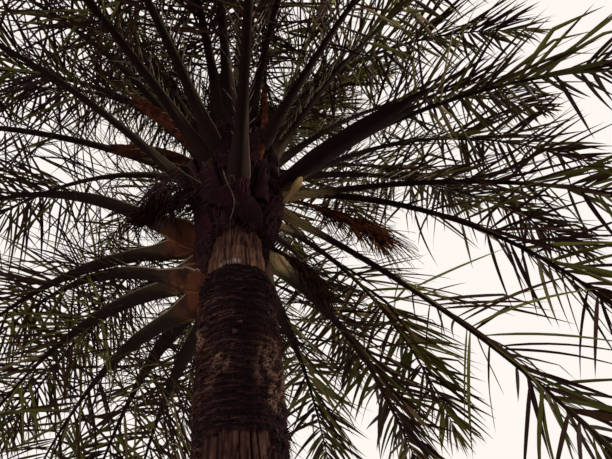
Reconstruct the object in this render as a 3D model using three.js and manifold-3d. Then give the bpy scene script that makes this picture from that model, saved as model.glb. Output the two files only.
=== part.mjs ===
// A date palm, from level ground to the tips of its fronds: a leaning trunk with a root flare,
// a bare neck and a sleeve of leaf sheaths, a crown of arching feather fronds, and the dry
// spathes and flower stalks that hang between the frond bases.
// Millimetres and degrees. +Z is up, and the origin is the centre of the trunk's flat foot.
// Azimuths run counter-clockwise from +X, seen from above.

import * as THREE from 'three';
import { mergeVertices } from 'three/addons/utils/BufferGeometryUtils.js';
import Module from 'manifold-3d';

const wasm = await Module();
wasm.setup();

// Trunk
const TRUNK_LEAN = 2;
const TRUNK_SIDES = 20;
const TRUNK_RIPPLE = 0.025;
const TRUNK_PROFILE = [
  { height: 0, radius: 340 },
  { height: 120, radius: 292 },
  { height: 320, radius: 250 },
  { height: 650, radius: 222 },
  { height: 1300, radius: 209 },
  { height: 2240, radius: 202 },
  { height: 2700, radius: 202 },
  { height: 3130, radius: 197 },
  { height: 3210, radius: 175 },
  { height: 3420, radius: 170 },
  { height: 3800, radius: 158 },
  { height: 4350, radius: 100 },
];

// Sleeve of fibrous leaf sheaths round the top of the trunk
const SLEEVE_SIDES = 20;
const SLEEVE_FOOT = 3300;
const SLEEVE_FOOT_SLANT = 150;
const SLEEVE_HIGH_SIDE = 285;
const SLEEVE_TOP = 5000;
const SLEEVE_RIPPLE = 0.05;
const SLEEVE_PROFILE = [
  { rise: 0, radius: 120 },
  { rise: 0.015, radius: 196 },
  { rise: 0.06, radius: 250 },
  { rise: 0.14, radius: 292 },
  { rise: 0.28, radius: 308 },
  { rise: 0.44, radius: 292 },
  { rise: 0.6, radius: 262 },
  { rise: 0.76, radius: 222 },
  { rise: 0.9, radius: 160 },
  { rise: 1, radius: 60 },
];

// Fronds: the rib starts inside the sleeve, and its slope falls by droop over DROOP_LENGTH.
// Their lengths vary with the azimuth, by FROND_LENGTH_SPREAD either way.
const FROND_LENGTH = 3960;
const FROND_LENGTH_SPREAD = 170;
const LENGTH_WAVES = 7;
const FROND_START = 200;
const DROOP_LENGTH = 3800;
const DROOP_POWER = 1.4;
const PATH_STEPS = 80;
const BASE_HALF_WIDTH = 76;
const STALK_HALF_WIDTH = 32;
const BLADE_HALF_WIDTH = 400;
const BLADE_LATE_HALF_WIDTH = 310;
const TIP_HALF_WIDTH = 8;
const BASE_FRACTION = 0.15;
const STALK_FRACTION = 0.24;
const BLADE_FULL_FRACTION = 0.42;
const BLADE_NARROW_FRACTION = 0.78;
const RIB_HALF_DEPTH = 24;
const RIB_TIP_HALF_DEPTH = 4.5;
const EDGE_HALF_DEPTH = 10;
const EDGE_TIP_HALF_DEPTH = 2;
const BLADE_FOLD = 9;
const BLADE_ROLL = 22;
const FROND_STATIONS = [0, 0.06, 0.15, 0.24, 0.38, 0.55, 0.74, 0.89, 1];

// Each row is azimuth, height of the base, rise and droop
const LOWER_FRONDS = [
  [141, 3230, 40, 76],
  [136, 3330, 24, 70],
  [131, 3400, 28, 72],
  [126, 3180, 22, 70],
  [117, 3350, 16, 70],
  [110, 3200, 18, 70],
  [103, 3440, 27, 70],
  [90, 3380, 16, 68],
  [75, 3470, 20, 68],
  [59, 3600, 15, 67],
];
const MIDDLE_FRONDS = [
  [160, 3500, 47, 67],
  [145, 3560, 27, 67],
  [199, 3800, 44, 53],
  [275, 3790, 35, 60],
  [348, 3950, 34, 62],
  [356, 3880, 10, 56],
  [8, 4020, 8, 100],
  [17, 3920, -22, 48],
  [51, 3930, 20, 78],
  [68, 3850, 36, 66],
  [86, 3820, 34, 66],
  [104, 3850, 42, 66],
  [123, 3800, 40, 66],
  [10, 4000, 44, 60],
  [20, 4200, 30, 60],
];
const UPPER_FRONDS = [
  [198, 4150, 58, 61],
  [213, 4120, 77, 51],
  [252, 4330, 58, 62],
  [338, 4050, 62, 51],
  [151, 4180, 40, 66],
  [178, 4100, 32, 58],
  [175, 4450, 53, 66],
  [8, 4200, 55, 62],
  [32, 4150, 50, 62],
  [55, 4200, 54, 62],
  [78, 4180, 56, 64],
  [100, 4250, 54, 62],
  [125, 4200, 55, 64],
  [222, 4050, 45, 60],
  [240, 4120, 42, 62],
  [264, 4420, 52, 60],
  [316, 4180, 50, 58],
  [356, 4600, 60, 74],
  [165, 4300, 62, 60],
];
const INNER_FRONDS = [
  [330, 4180, 87, 2],
  [347, 4280, 75, 5],
  [236, 4400, 80, 36],
  [283, 4430, 76, 38],
  [298, 4450, 70, 44],
];

// The steep fronds at the back and sides of the crown's middle share one mass, a curved wall
// between two azimuths. Its middle surface follows one arch, and its wall swells from the foot.
const WALL_AZIMUTHS = { first: 14, last: 188, steps: 8 };
const WALL_BASE = 4480;
const WALL_RISE = 71;
const WALL_DROOP = 42;
const WALL_LENGTH = 3550;
const WALL_FOOT_HALF_DEPTH = 45;
const WALL_HALF_DEPTH = 130;
const WALL_TIP_HALF_DEPTH = 25;
const WALL_FULL_FRACTION = 0.5;
const WALL_STATIONS = [0, 0.12, 0.26, 0.42, 0.6, 0.8, 1];

// The youngest leaves stand together, still closed, as one slender bundle
const SPEAR_FOOT = 4900;
const SPEAR_HEIGHT = 3400;
const SPEAR_LEAN = 3;
const SPEAR_SIDES = 8;
const SPEAR_PROFILE = [
  { rise: 0, radius: 45 },
  { rise: 0.12, radius: 70 },
  { rise: 0.45, radius: 85 },
  { rise: 0.8, radius: 50 },
  { rise: 1, radius: 10 },
];

// Dry spathes and flower stalks: azimuth, base height, rise, droop, length, half width, half depth
const DRY_PARTS = [
  { name: 'spathe_right', place: [339, 3850, 31, 12], length: 1560, halfWidth: 80, halfDepth: 14 },
  { name: 'spathe_left_low', place: [182, 4190, 30, 24], length: 840, halfWidth: 72, halfDepth: 14 },
  { name: 'spathe_left_high', place: [206, 4190, 46, 30], length: 840, halfWidth: 62, halfDepth: 14 },
  { name: 'spathe_upright', place: [312, 3900, 75, -30], length: 1300, halfWidth: 30, halfDepth: 8 },
  { name: 'flower_stalks_right', place: [13, 4020, -3, 40], length: 1100, halfWidth: 90, halfDepth: 20 },
  { name: 'flower_bunch_right', place: [7, 3500, -28, 48], length: 520, halfWidth: 75, halfDepth: 40 },
  { name: 'flower_bunch_left', place: [190, 3850, -5, 60], length: 500, halfWidth: 70, halfDepth: 45 },
];
const DRY_STATIONS = [0, 0.15, 0.35, 0.6, 0.85, 1];
const DRY_EDGE = 0.5;
const DRY_END_WIDTH = 0.45;
const DRY_SWELL = { first: 0.1, last: 0.9 };

// Unevenness of round outlines: waves round them, the height of one radian, and share
const BROAD_RIPPLE = { waves: 3, height: 700, share: 0.6 };
const FINE_RIPPLE = { waves: 7, height: -260, share: 0.4 };

// Clearance that a cut leaves to a neighbour
const CUT_GAP = 0.5;

const BARK = { color: 0x4a3226, roughness: 0.9 };
const SHEATH = { color: 0x2f1e1d, roughness: 0.95 };
const LEAF = { color: 0x4a5230, roughness: 0.6 };
const SPATHE = { color: 0x5a3326, roughness: 0.85 };
const FLOWER = { color: 0x6b4630, roughness: 0.85 };

const radians = THREE.MathUtils.degToRad;
const lerp = THREE.MathUtils.lerp;
const smoothstep = THREE.MathUtils.smoothstep;

function axisPoint(height) {
  return new THREE.Vector3(-height * Math.tan(radians(TRUNK_LEAN)), 0, height);
}

function solidOf(points, triangles) {
  const vertices = points.flatMap((point) => [point.x, point.y, point.z]);
  return new wasm.Manifold(new wasm.Mesh({
    numProp: 3,
    vertProperties: new Float32Array(vertices),
    triVerts: new Uint32Array(triangles),
  }));
}

// A closed solid through rings of points that all have the same count
function loftSolid(rings) {
  const sides = rings[0].length;
  const triangles = [];
  for (let ring = 0; ring + 1 < rings.length; ring++) {
    for (let side = 0; side < sides; side++) {
      const next = (side + 1) % sides;
      const low = ring * sides;
      const high = low + sides;
      triangles.push(low + side, low + next, high + next);
      triangles.push(low + side, high + next, high + side);
    }
  }
  const last = (rings.length - 1) * sides;
  for (let side = 1; side + 1 < sides; side++) {
    triangles.push(0, side + 1, side);
    triangles.push(last, last + side, last + side + 1);
  }
  return solidOf(rings.flat(), triangles);
}

// A closed wall between two sheets of points. Each sheet has the same rows of the same count.
function wallSolid(outer, inner) {
  const rows = outer.length;
  const columns = outer[0].length;
  const triangles = [];
  const quad = (first, second, third, fourth) => {
    triangles.push(first, second, third, first, third, fourth);
  };
  const outside = (row, column) => row * columns + column;
  const inside = (row, column) => outside(row, column) + rows * columns;
  for (let row = 0; row + 1 < rows; row++) {
    for (let column = 0; column + 1 < columns; column++) {
      quad(outside(row, column), outside(row, column + 1),
        outside(row + 1, column + 1), outside(row + 1, column));
      quad(inside(row, column), inside(row + 1, column),
        inside(row + 1, column + 1), inside(row, column + 1));
    }
    const end = columns - 1;
    quad(outside(row, 0), outside(row + 1, 0), inside(row + 1, 0), inside(row, 0));
    quad(outside(row, end), inside(row, end), inside(row + 1, end), outside(row + 1, end));
  }
  for (let column = 0; column + 1 < columns; column++) {
    const end = rows - 1;
    quad(outside(0, column), inside(0, column), inside(0, column + 1), outside(0, column + 1));
    quad(outside(end, column), outside(end, column + 1),
      inside(end, column + 1), inside(end, column));
  }
  return solidOf([...outer.flat(), ...inner.flat()], triangles);
}

// Unevenness of a round outline, in parts of its radius
function ripple(angle, height, amount) {
  const waves = [BROAD_RIPPLE, FINE_RIPPLE].map((wave) => (
    wave.share * Math.sin(wave.waves * angle + height / wave.height)));
  return 1 + amount * (waves[0] + waves[1]);
}

function ringAt(sides, place) {
  return Array.from({ length: sides }, (_, side) => place((side / sides) * 2 * Math.PI));
}

function trunkSolid(grow) {
  const gap = grow ? CUT_GAP : 0;
  const rings = TRUNK_PROFILE.map(({ height, radius }) => ringAt(TRUNK_SIDES, (angle) => {
    const reach = radius * ripple(angle, height, TRUNK_RIPPLE) + gap;
    const centre = axisPoint(height);
    return new THREE.Vector3(Math.cos(angle) * reach, Math.sin(angle) * reach, 0).add(centre);
  }));
  rings.at(-1).forEach((point) => { point.z += gap; });
  return loftSolid(rings);
}

// The sleeve's foot is higher on the side where the old fronds have been cut away
function sleeveSolid(grow) {
  const gap = grow ? CUT_GAP : 0;
  const rings = SLEEVE_PROFILE.map(({ rise, radius }) => ringAt(SLEEVE_SIDES, (angle) => {
    const slant = SLEEVE_FOOT_SLANT * Math.cos(angle - radians(SLEEVE_HIGH_SIDE));
    const height = lerp(SLEEVE_FOOT + slant, SLEEVE_TOP, rise) + gap * (2 * rise - 1);
    const reach = radius * ripple(angle, height, SLEEVE_RIPPLE) + gap;
    const centre = axisPoint(height);
    return new THREE.Vector3(Math.cos(angle) * reach, Math.sin(angle) * reach, 0).add(centre);
  }));
  return loftSolid(rings);
}

function spearSolid(grow) {
  const gap = grow ? CUT_GAP : 0;
  const rings = SPEAR_PROFILE.map(({ rise, radius }) => ringAt(SPEAR_SIDES, (angle) => {
    const height = rise * SPEAR_HEIGHT;
    const centre = axisPoint(SPEAR_FOOT).add(new THREE.Vector3(0, 0, height));
    centre.x += height * Math.tan(radians(SPEAR_LEAN));
    const reach = radius + gap;
    return new THREE.Vector3(Math.cos(angle) * reach, Math.sin(angle) * reach, 0).add(centre);
  }));
  return loftSolid(rings);
}

// Points and directions along an arching rib, at the given fractions of its length
function ribFrames([azimuth, baseHeight, rise, droop], length, droopLength, fractions) {
  const outward = new THREE.Vector3(Math.cos(radians(azimuth)), Math.sin(radians(azimuth)), 0);
  const across = new THREE.Vector3(-outward.y, outward.x, 0);
  const slopeAt = (fraction) => radians(rise - droop * (fraction * length / droopLength) ** DROOP_POWER);
  const base = axisPoint(baseHeight);
  return fractions.map((fraction) => {
    const point = base.clone().addScaledVector(outward, FROND_START);
    const step = (fraction * length) / PATH_STEPS;
    for (let count = 0; count < PATH_STEPS; count++) {
      const slope = slopeAt((fraction * (count + 0.5)) / PATH_STEPS);
      point.addScaledVector(outward, Math.cos(slope) * step);
      point.z += Math.sin(slope) * step;
    }
    const slope = slopeAt(fraction);
    const along = outward.clone().multiplyScalar(Math.cos(slope));
    along.z = Math.sin(slope);
    const above = new THREE.Vector3().crossVectors(along, across).normalize();
    return { point, along, across, above };
  });
}

function frondHalfWidth(fraction) {
  const stalk = lerp(BASE_HALF_WIDTH, STALK_HALF_WIDTH, smoothstep(fraction, 0, BASE_FRACTION));
  const opening = smoothstep(fraction, STALK_FRACTION, BLADE_FULL_FRACTION);
  const body = lerp(stalk, BLADE_HALF_WIDTH, opening);
  if (fraction < BLADE_FULL_FRACTION) return body;
  const narrowing = smoothstep(fraction, BLADE_FULL_FRACTION, BLADE_NARROW_FRACTION);
  const late = lerp(body, BLADE_LATE_HALF_WIDTH, narrowing);
  if (fraction < BLADE_NARROW_FRACTION) return late;
  const toTip = (fraction - BLADE_NARROW_FRACTION) / (1 - BLADE_NARROW_FRACTION);
  return Math.max(late * Math.sqrt(1 - toTip * toTip), TIP_HALF_WIDTH);
}

// A thin folded blade round its rib: two edges and a ridge above, and the same below.
// A grown blade clears the real one by CUT_GAP all round.
function bladeRing({ point, across, above }, section, roll, fold, grow) {
  const gap = grow ? CUT_GAP : 0;
  const side = across.clone().multiplyScalar(Math.cos(roll)).addScaledVector(above, Math.sin(roll));
  const up = above.clone().multiplyScalar(Math.cos(roll)).addScaledVector(across, -Math.sin(roll));
  const halfWidth = section.halfWidth + gap;
  const lift = halfWidth * Math.tan(fold);
  const edge = section.edgeHalfDepth + gap;
  const ridge = section.ridgeHalfDepth + gap;
  const corner = (sideways, upwards) => point.clone()
    .addScaledVector(side, sideways)
    .addScaledVector(up, upwards);
  return [
    corner(halfWidth, lift + edge),
    corner(0, ridge),
    corner(-halfWidth, lift + edge),
    corner(-halfWidth, lift - edge),
    corner(0, -ridge),
    corner(halfWidth, lift - edge),
  ];
}

function frondLength([azimuth]) {
  return FROND_LENGTH + FROND_LENGTH_SPREAD * Math.sin(radians(azimuth * LENGTH_WAVES));
}

function frondSolid(place, grow) {
  const frames = ribFrames(place, frondLength(place), DROOP_LENGTH, FROND_STATIONS);
  const rings = frames.map((frame, index) => {
    const fraction = FROND_STATIONS[index];
    const thinning = Math.sqrt(fraction);
    const section = {
      halfWidth: frondHalfWidth(fraction),
      ridgeHalfDepth: lerp(RIB_HALF_DEPTH, RIB_TIP_HALF_DEPTH, thinning),
      edgeHalfDepth: lerp(EDGE_HALF_DEPTH, EDGE_TIP_HALF_DEPTH, thinning),
    };
    const opening = smoothstep(fraction, 0, BLADE_FULL_FRACTION);
    return bladeRing(frame, section, radians(BLADE_ROLL) * opening, radians(BLADE_FOLD) * opening, grow);
  });
  return loftSolid(rings);
}

function drySolid({ place, length, halfWidth, halfDepth }, grow) {
  const rings = ribFrames(place, length, length, DRY_STATIONS).map((frame, index) => {
    const turn = Math.PI * lerp(DRY_SWELL.first, DRY_SWELL.last, DRY_STATIONS[index]);
    const swell = lerp(DRY_END_WIDTH, 1, Math.sin(turn));
    const section = {
      halfWidth: halfWidth * swell,
      ridgeHalfDepth: halfDepth * swell,
      edgeHalfDepth: halfDepth * swell * DRY_EDGE,
    };
    return bladeRing(frame, section, 0, 0, grow);
  });
  return loftSolid(rings);
}

// One row of points round the wall's side at each station, outside and inside
function innerWallSolid(grow) {
  const gap = grow ? CUT_GAP : 0;
  const { first, last, steps } = WALL_AZIMUTHS;
  const outer = WALL_STATIONS.map(() => []);
  const inner = WALL_STATIONS.map(() => []);
  for (let step = 0; step <= steps; step++) {
    const place = [lerp(first, last, step / steps), WALL_BASE, WALL_RISE, WALL_DROOP];
    const aside = (step === steps ? gap : 0) - (step === 0 ? gap : 0);
    const frames = ribFrames(place, WALL_LENGTH + gap, DROOP_LENGTH, WALL_STATIONS);
    frames.forEach(({ point, across, above }, row) => {
      point.addScaledVector(across, aside);
      const fraction = WALL_STATIONS[row];
      const swelling = smoothstep(fraction, 0, WALL_FULL_FRACTION);
      const thinning = smoothstep(fraction, WALL_FULL_FRACTION, 1);
      const body = lerp(WALL_FOOT_HALF_DEPTH, WALL_HALF_DEPTH, swelling);
      const halfDepth = lerp(body, WALL_TIP_HALF_DEPTH, thinning) + gap;
      outer[row].push(point.clone().addScaledVector(above, -halfDepth));
      inner[row].push(point.clone().addScaledVector(above, halfDepth));
    });
  }
  return wallSolid(outer, inner);
}

// The largest body that is left of a solid once its neighbours are cut away
function trimmed(solid, cutters) {
  const rest = cutters.reduce((body, cutter) => body.subtract(cutter), solid);
  const bodies = rest.decompose();
  return bodies.reduce((best, body) => (body.volume() > best.volume() ? body : best));
}

function dullMaterial(finish) {
  return new THREE.MeshStandardMaterial({ ...finish, metalness: 0 });
}

function meshOf(name, solid, finish) {
  const mesh = solid.getMesh();
  const geometry = new THREE.BufferGeometry();
  geometry.setAttribute('position', new THREE.BufferAttribute(mesh.vertProperties, 3));
  geometry.setIndex(new THREE.BufferAttribute(mesh.triVerts, 1));
  const merged = mergeVertices(geometry);
  merged.computeVertexNormals();
  const result = new THREE.Mesh(merged, dullMaterial(finish));
  result.name = name;
  return result;
}

function buildPalm() {
  const palm = new THREE.Group();
  palm.name = 'date_palm';
  const cutters = [trunkSolid(true)];
  palm.add(meshOf('trunk', trunkSolid(false), BARK));

  palm.add(meshOf('leaf_sheaths', trimmed(sleeveSolid(false), cutters), SHEATH));
  cutters.push(sleeveSolid(true));

  palm.add(meshOf('spear_leaves', trimmed(spearSolid(false), cutters), LEAF));
  cutters.push(spearSolid(true));

  DRY_PARTS.forEach((part) => {
    const finish = part.name.startsWith('spathe') ? SPATHE : FLOWER;
    palm.add(meshOf(part.name, trimmed(drySolid(part, false), cutters), finish));
    cutters.push(drySolid(part, true));
  });

  palm.add(meshOf('inner_crown', trimmed(innerWallSolid(false), cutters), LEAF));
  cutters.push(innerWallSolid(true));

  const tiers = {
    lower_frond: LOWER_FRONDS,
    middle_frond: MIDDLE_FRONDS,
    upper_frond: UPPER_FRONDS,
    inner_frond: INNER_FRONDS,
  };
  Object.entries(tiers).forEach(([tier, places]) => {
    places.forEach((place, index) => {
      const name = `${tier}_${index + 1}`;
      palm.add(meshOf(name, trimmed(frondSolid(place, false), cutters), LEAF));
      cutters.push(frondSolid(place, true));
    });
  });
  return palm;
}

export default buildPalm();
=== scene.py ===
"""The detailed look of a date palm, built round its measured solids.

Metres and degrees. +Z is up, and the origin is the centre of the trunk's flat foot. Azimuths
run counter-clockwise from +X, seen from above.
"""

import itertools
import math
from collections import namedtuple

import bpy
import numpy as np
from mathutils import Matrix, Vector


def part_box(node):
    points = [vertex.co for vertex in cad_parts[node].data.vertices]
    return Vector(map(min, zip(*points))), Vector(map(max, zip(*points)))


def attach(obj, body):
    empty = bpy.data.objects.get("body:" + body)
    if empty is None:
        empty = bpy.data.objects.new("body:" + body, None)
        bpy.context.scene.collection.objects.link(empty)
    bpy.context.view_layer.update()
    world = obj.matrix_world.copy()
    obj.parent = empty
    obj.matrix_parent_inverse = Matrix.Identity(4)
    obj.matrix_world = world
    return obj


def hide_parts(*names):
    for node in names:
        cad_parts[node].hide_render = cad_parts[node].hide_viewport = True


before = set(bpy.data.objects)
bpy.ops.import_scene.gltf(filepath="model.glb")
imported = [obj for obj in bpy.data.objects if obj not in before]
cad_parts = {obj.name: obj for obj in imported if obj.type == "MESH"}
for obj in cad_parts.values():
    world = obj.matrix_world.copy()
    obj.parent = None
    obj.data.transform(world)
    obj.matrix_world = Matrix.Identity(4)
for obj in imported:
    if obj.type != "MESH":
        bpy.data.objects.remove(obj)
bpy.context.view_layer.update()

bl_info = {
    "name": "Date palm",
    "version": (1, 0, 0),
    "blender": (4, 5, 0),
    "location": "View3D > Sidebar > Date palm",
    "description": "Builds the bark, sheaths, fronds and dry stalks of a date palm, and its stage",
    "category": "Object",
}

BODY = "root"

# Sizes of the measured solids, in metres and degrees
TRUNK_LEAN = 2
TRUNK_RIPPLE = 0.025
TRUNK_HEIGHTS = (0, 0.12, 0.32, 0.65, 1.3, 2.24, 2.7, 3.13, 3.21, 3.42, 3.8, 4.35)
TRUNK_RADII = (0.34, 0.292, 0.25, 0.222, 0.209, 0.202, 0.202, 0.197, 0.175, 0.17, 0.158, 0.1)
SLEEVE_FOOT = 3.3
SLEEVE_FOOT_SLANT = 0.15
SLEEVE_HIGH_SIDE = 285
SLEEVE_TOP = 5.0
SLEEVE_RIPPLE = 0.05
SLEEVE_RISES = (0, 0.015, 0.06, 0.14, 0.28, 0.44, 0.6, 0.76, 0.9, 1)
SLEEVE_RADII = (0.12, 0.196, 0.25, 0.292, 0.308, 0.292, 0.262, 0.222, 0.16, 0.06)
FROND_LENGTH = 3.96
FROND_LENGTH_SPREAD = 0.17
LENGTH_WAVES = 7
FROND_START = 0.2
DROOP_LENGTH = 3.8
DROOP_POWER = 1.4
BLADE_ROLL = 22
SPEAR_FOOT = 4.9
SPEAR_HEIGHT = 3.4
SPEAR_LEAN = 3

# Each frond's azimuth, height of the base, rise and droop
TIERS = {
    "lower_frond": (
        (141, 3.23, 40, 76), (136, 3.33, 24, 70), (131, 3.4, 28, 72), (126, 3.18, 22, 70),
        (117, 3.35, 16, 70), (110, 3.2, 18, 70), (103, 3.44, 27, 70), (90, 3.38, 16, 68),
        (75, 3.47, 20, 68), (59, 3.6, 15, 67),
    ),
    "middle_frond": (
        (160, 3.5, 47, 67), (145, 3.56, 27, 67), (199, 3.8, 44, 53), (275, 3.79, 35, 60),
        (348, 3.95, 34, 62), (356, 3.88, 10, 56), (8, 4.02, 8, 100), (17, 3.92, -22, 48),
        (51, 3.93, 20, 78), (68, 3.85, 36, 66), (86, 3.82, 34, 66), (104, 3.85, 42, 66),
        (123, 3.8, 40, 66), (10, 4.0, 44, 60), (20, 4.2, 30, 60),
    ),
    "upper_frond": (
        (198, 4.15, 58, 61), (213, 4.12, 77, 51), (252, 4.33, 58, 62), (338, 4.05, 62, 51),
        (151, 4.18, 40, 66), (178, 4.1, 32, 58), (175, 4.45, 53, 66), (8, 4.2, 55, 62),
        (32, 4.15, 50, 62), (55, 4.2, 54, 62), (78, 4.18, 56, 64), (100, 4.25, 54, 62),
        (125, 4.2, 55, 64), (222, 4.05, 45, 60), (240, 4.12, 42, 62), (264, 4.42, 52, 60),
        (316, 4.18, 50, 58), (356, 4.6, 60, 74), (165, 4.3, 62, 60),
    ),
    "inner_frond": (
        (330, 4.18, 87, 2), (347, 4.28, 75, 5), (236, 4.4, 80, 36), (283, 4.43, 76, 38),
        (298, 4.45, 70, 44),
    ),
}

# The steep fronds that share one solid: their number, and their first and last azimuth
CROWN_FROND_COUNT = 16
CROWN_AZIMUTHS = (19, 183)

# The height of their bases, rise, droop and length, each with its change from one to the next
CROWN_ARCH = ((4.5, 0.04), (71, 2.5), (42, -2), (3.4, 0.07))

# Dry parts: azimuth, height of the base, rise, droop, length and half width
SPATHES = {
    "spathe_right": (339, 3.85, 31, 12, 1.56, 0.09),
    "spathe_left_low": (182, 4.19, 30, 24, 0.84, 0.072),
    "spathe_left_high": (206, 4.19, 46, 30, 0.84, 0.062),
    "spathe_upright": (312, 3.9, 75, -30, 1.3, 0.03),
}
SPATHE_REDNESS = {
    "spathe_right": 0.015,
    "spathe_left_low": 0.4,
    "spathe_left_high": 0.65,
    "spathe_upright": 1.0,
}
FLOWER_STALKS = {
    "flower_stalks_right": (13, 4.02, -3, 40, 1.1, 0.09),
    "flower_bunch_right": (7, 3.5, -28, 48, 0.52, 0.075),
    "flower_bunch_left": (190, 3.85, -5, 60, 0.5, 0.07),
}

# Bands of the trunk, from the ground up
FLARE_TOP = 0.42
OLD_BAND_TOP = 1.93
LOW_CRACKED_TOP = 2.285
BAND_TOP = 3.2
NECK_STEP = 3.35
BAND_EDGE = 0.007

# Where the bark's pieces meet, and the number of rings of points in each stretch of it
BARK_JOINS = (0.4, 2.25, 3.22, 3.78)
BARK_RINGS = (42, 280, 365, 80)

# The azimuths of the trunk's front and of the frayed line, and the height of the warm fibre
TRUNK_FRONT = 268
FRAYED_MIDDLE = 256
WARM_MIDDLE = 2.58

# Pale crumbling places on the band, their paleness partly a painted highlight: azimuth, height and
# reach
PALE_PATCHES = ((324, 2.58, 0.13), (318, 2.44, 0.06), (207, 2.78, 0.05), (248, 2.6, 0.045))

# The azimuth where the sleeve is tight at the left
LEFT_SIDE = 190

# Where the sleeve's foot is lifted: azimuth and rise
SLEEVE_LIFTS = ((238, 0.05), (340, 0.08), (22, 0.22))

# Views: the eye, its pitch, yaw and roll, and the lens for a picture 612 wide and 459 high
EYE = (0, -2.2, 1.55)
EYE_PITCH = 43
EYE_YAW = 8.41
EYE_ROLL = -6.36
PICTURE_WIDTH = 612
FOCAL_PIXELS = 462
SENSOR_WIDTH = 36
CLIP = (0.05, 500)

UP = np.array([0.0, 0.0, 1.0])
GOLDEN_TURN = 137.5
ARCH_STEPS = 400

# The seed of each group's random draws
SEEDS = {
    "flakes": 71, "fibres": 73, "threads": 91, "dead_bases": 95, "spines": 111, "flowers": 131,
    "lower_frond": 200, "middle_frond": 201, "upper_frond": 202, "inner_frond": 203, "inner_crown": 204,
}

Path = namedtuple("Path", "point along across above")
Frond = namedtuple("Frond", "node azimuth base_height rise droop length")


# Numbers and noise


def smoothstep(low, high, value):
    part = np.clip((value - low) / (high - low), 0, 1)
    return part * part * (3 - 2 * part)


def unit(vectors):
    return vectors / np.linalg.norm(vectors, axis=-1, keepdims=True)


def chance(keys, seed):
    """An even number from 0 to 1 for each row of whole numbers."""
    keys = np.asarray(keys, dtype=np.int64)
    mixed = np.full(keys.shape[:-1], seed * 7919 + 17, dtype=np.int64)
    for axis, prime in enumerate((73856093, 19349663, 83492791)[: keys.shape[-1]]):
        mixed ^= keys[..., axis] * prime
    mixed = (mixed ^ (mixed >> 13)) * 1274126177 & 0x7FFFFFFF
    mixed = (mixed ^ (mixed >> 15)) * 668265263 & 0x7FFFFFFF
    return ((mixed >> 7) & 0xFFFF) / 0xFFFF


def near_azimuth(azimuth, other):
    """Degrees between two azimuths."""
    return abs((azimuth - other + 180) % 360 - 180)


def noise(points, seed):
    """Smooth noise from 0 to 1 with features one unit across."""
    cell = np.floor(points).astype(np.int64)
    part = points - cell
    part = part * part * (3 - 2 * part)
    total = np.zeros(points.shape[:-1])
    for corner in itertools.product((0, 1), repeat=3):
        weight = np.prod(np.where(corner, part, 1 - part), axis=-1)
        total += weight * chance(cell + np.array(corner), seed)
    return total


def noise_at(seed, *axes):
    """Noise at places given by their three coordinates."""
    return noise(np.stack(np.broadcast_arrays(*axes), axis=-1), seed)


def bark_noise(angle, height, around, upward, seed):
    """Noise on a round surface: features per radius round it, and per metre up it."""
    places = (np.cos(angle) * around, np.sin(angle) * around, height * upward)
    return noise_at(seed, *(axis + 37.5 for axis in places))


def draws_for(name):
    return np.random.default_rng(SEEDS[name])


def grid(rows, columns):
    """Every pair of a row's and a column's value, as two tables."""
    return np.meshgrid(rows, columns, indexing="ij")


def ring_turns(count):
    """Even turns round a ring, in radians."""
    return np.arange(count) / count * 2 * math.pi


# Shared shapes of the measured solids


def axis_point(height):
    return np.array([-height * math.tan(math.radians(TRUNK_LEAN)), 0.0, height])


def level_axes(turn):
    """The level directions away from the axis and round it."""
    outward = np.array([math.cos(turn), math.sin(turn), 0.0])
    return outward, np.array([-outward[1], outward[0], 0.0])


def round_points(angle, reach, height):
    """Points at a distance from the leaning axis."""
    lean = -height * math.tan(math.radians(TRUNK_LEAN))
    return np.stack([np.cos(angle) * reach + lean, np.sin(angle) * reach, height], axis=-1)


def wall_points(angle, reach, height, thickness):
    """The outer and the inner sheet of a thin wall round the axis."""
    return np.stack([round_points(angle, reach - inset, height) for inset in (0.0, thickness)])


def both(values):
    """The same values on both sheets of a wall."""
    return np.stack([values, values])


def sections(path, sideways, upwards):
    """A row of points beside and above each point of a path."""
    return (
        path.point[:, None]
        + path.across[:, None] * sideways[..., None]
        + path.above[:, None] * upwards[..., None]
    )


def ripple(angle, height, amount):
    broad = np.sin(3 * angle + height / 0.7)
    fine = np.sin(7 * angle - height / 0.26)
    return 1 + amount * (0.6 * broad + 0.4 * fine)


def arch(azimuth, base_height, rise, droop, droop_length, stations):
    """An arch that starts in the sleeve, at the given distances along it."""
    outward, across = level_axes(math.radians(azimuth))
    fine = np.linspace(0, max(stations), ARCH_STEPS)
    slope = np.radians(rise - droop * (fine / droop_length) ** DROOP_POWER)
    middle = (slope[1:] + slope[:-1]) / 2
    reach = np.append(0, np.cumsum(np.cos(middle))) * fine[1]
    climb = np.append(0, np.cumsum(np.sin(middle))) * fine[1]
    before = np.minimum(stations, 0)
    slope_at = np.interp(stations, fine, slope)[:, None]
    reach_at = np.interp(stations, fine, reach) + before * math.cos(slope[0])
    climb_at = np.interp(stations, fine, climb) + before * math.sin(slope[0])
    base = axis_point(base_height) + outward * FROND_START
    along = np.cos(slope_at) * outward + np.sin(slope_at) * UP
    return Path(
        base + reach_at[:, None] * outward + climb_at[:, None] * UP,
        along,
        np.broadcast_to(across, along.shape),
        np.cross(along, across),
    )


def rolled(path, roll):
    """The same path with its sections turned round it by roll, in radians."""
    turn = np.asarray(roll)[:, None]
    across = path.across * np.cos(turn) + path.above * np.sin(turn)
    above = path.above * np.cos(turn) - path.across * np.sin(turn)
    return Path(path.point, path.along, across, above)


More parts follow.
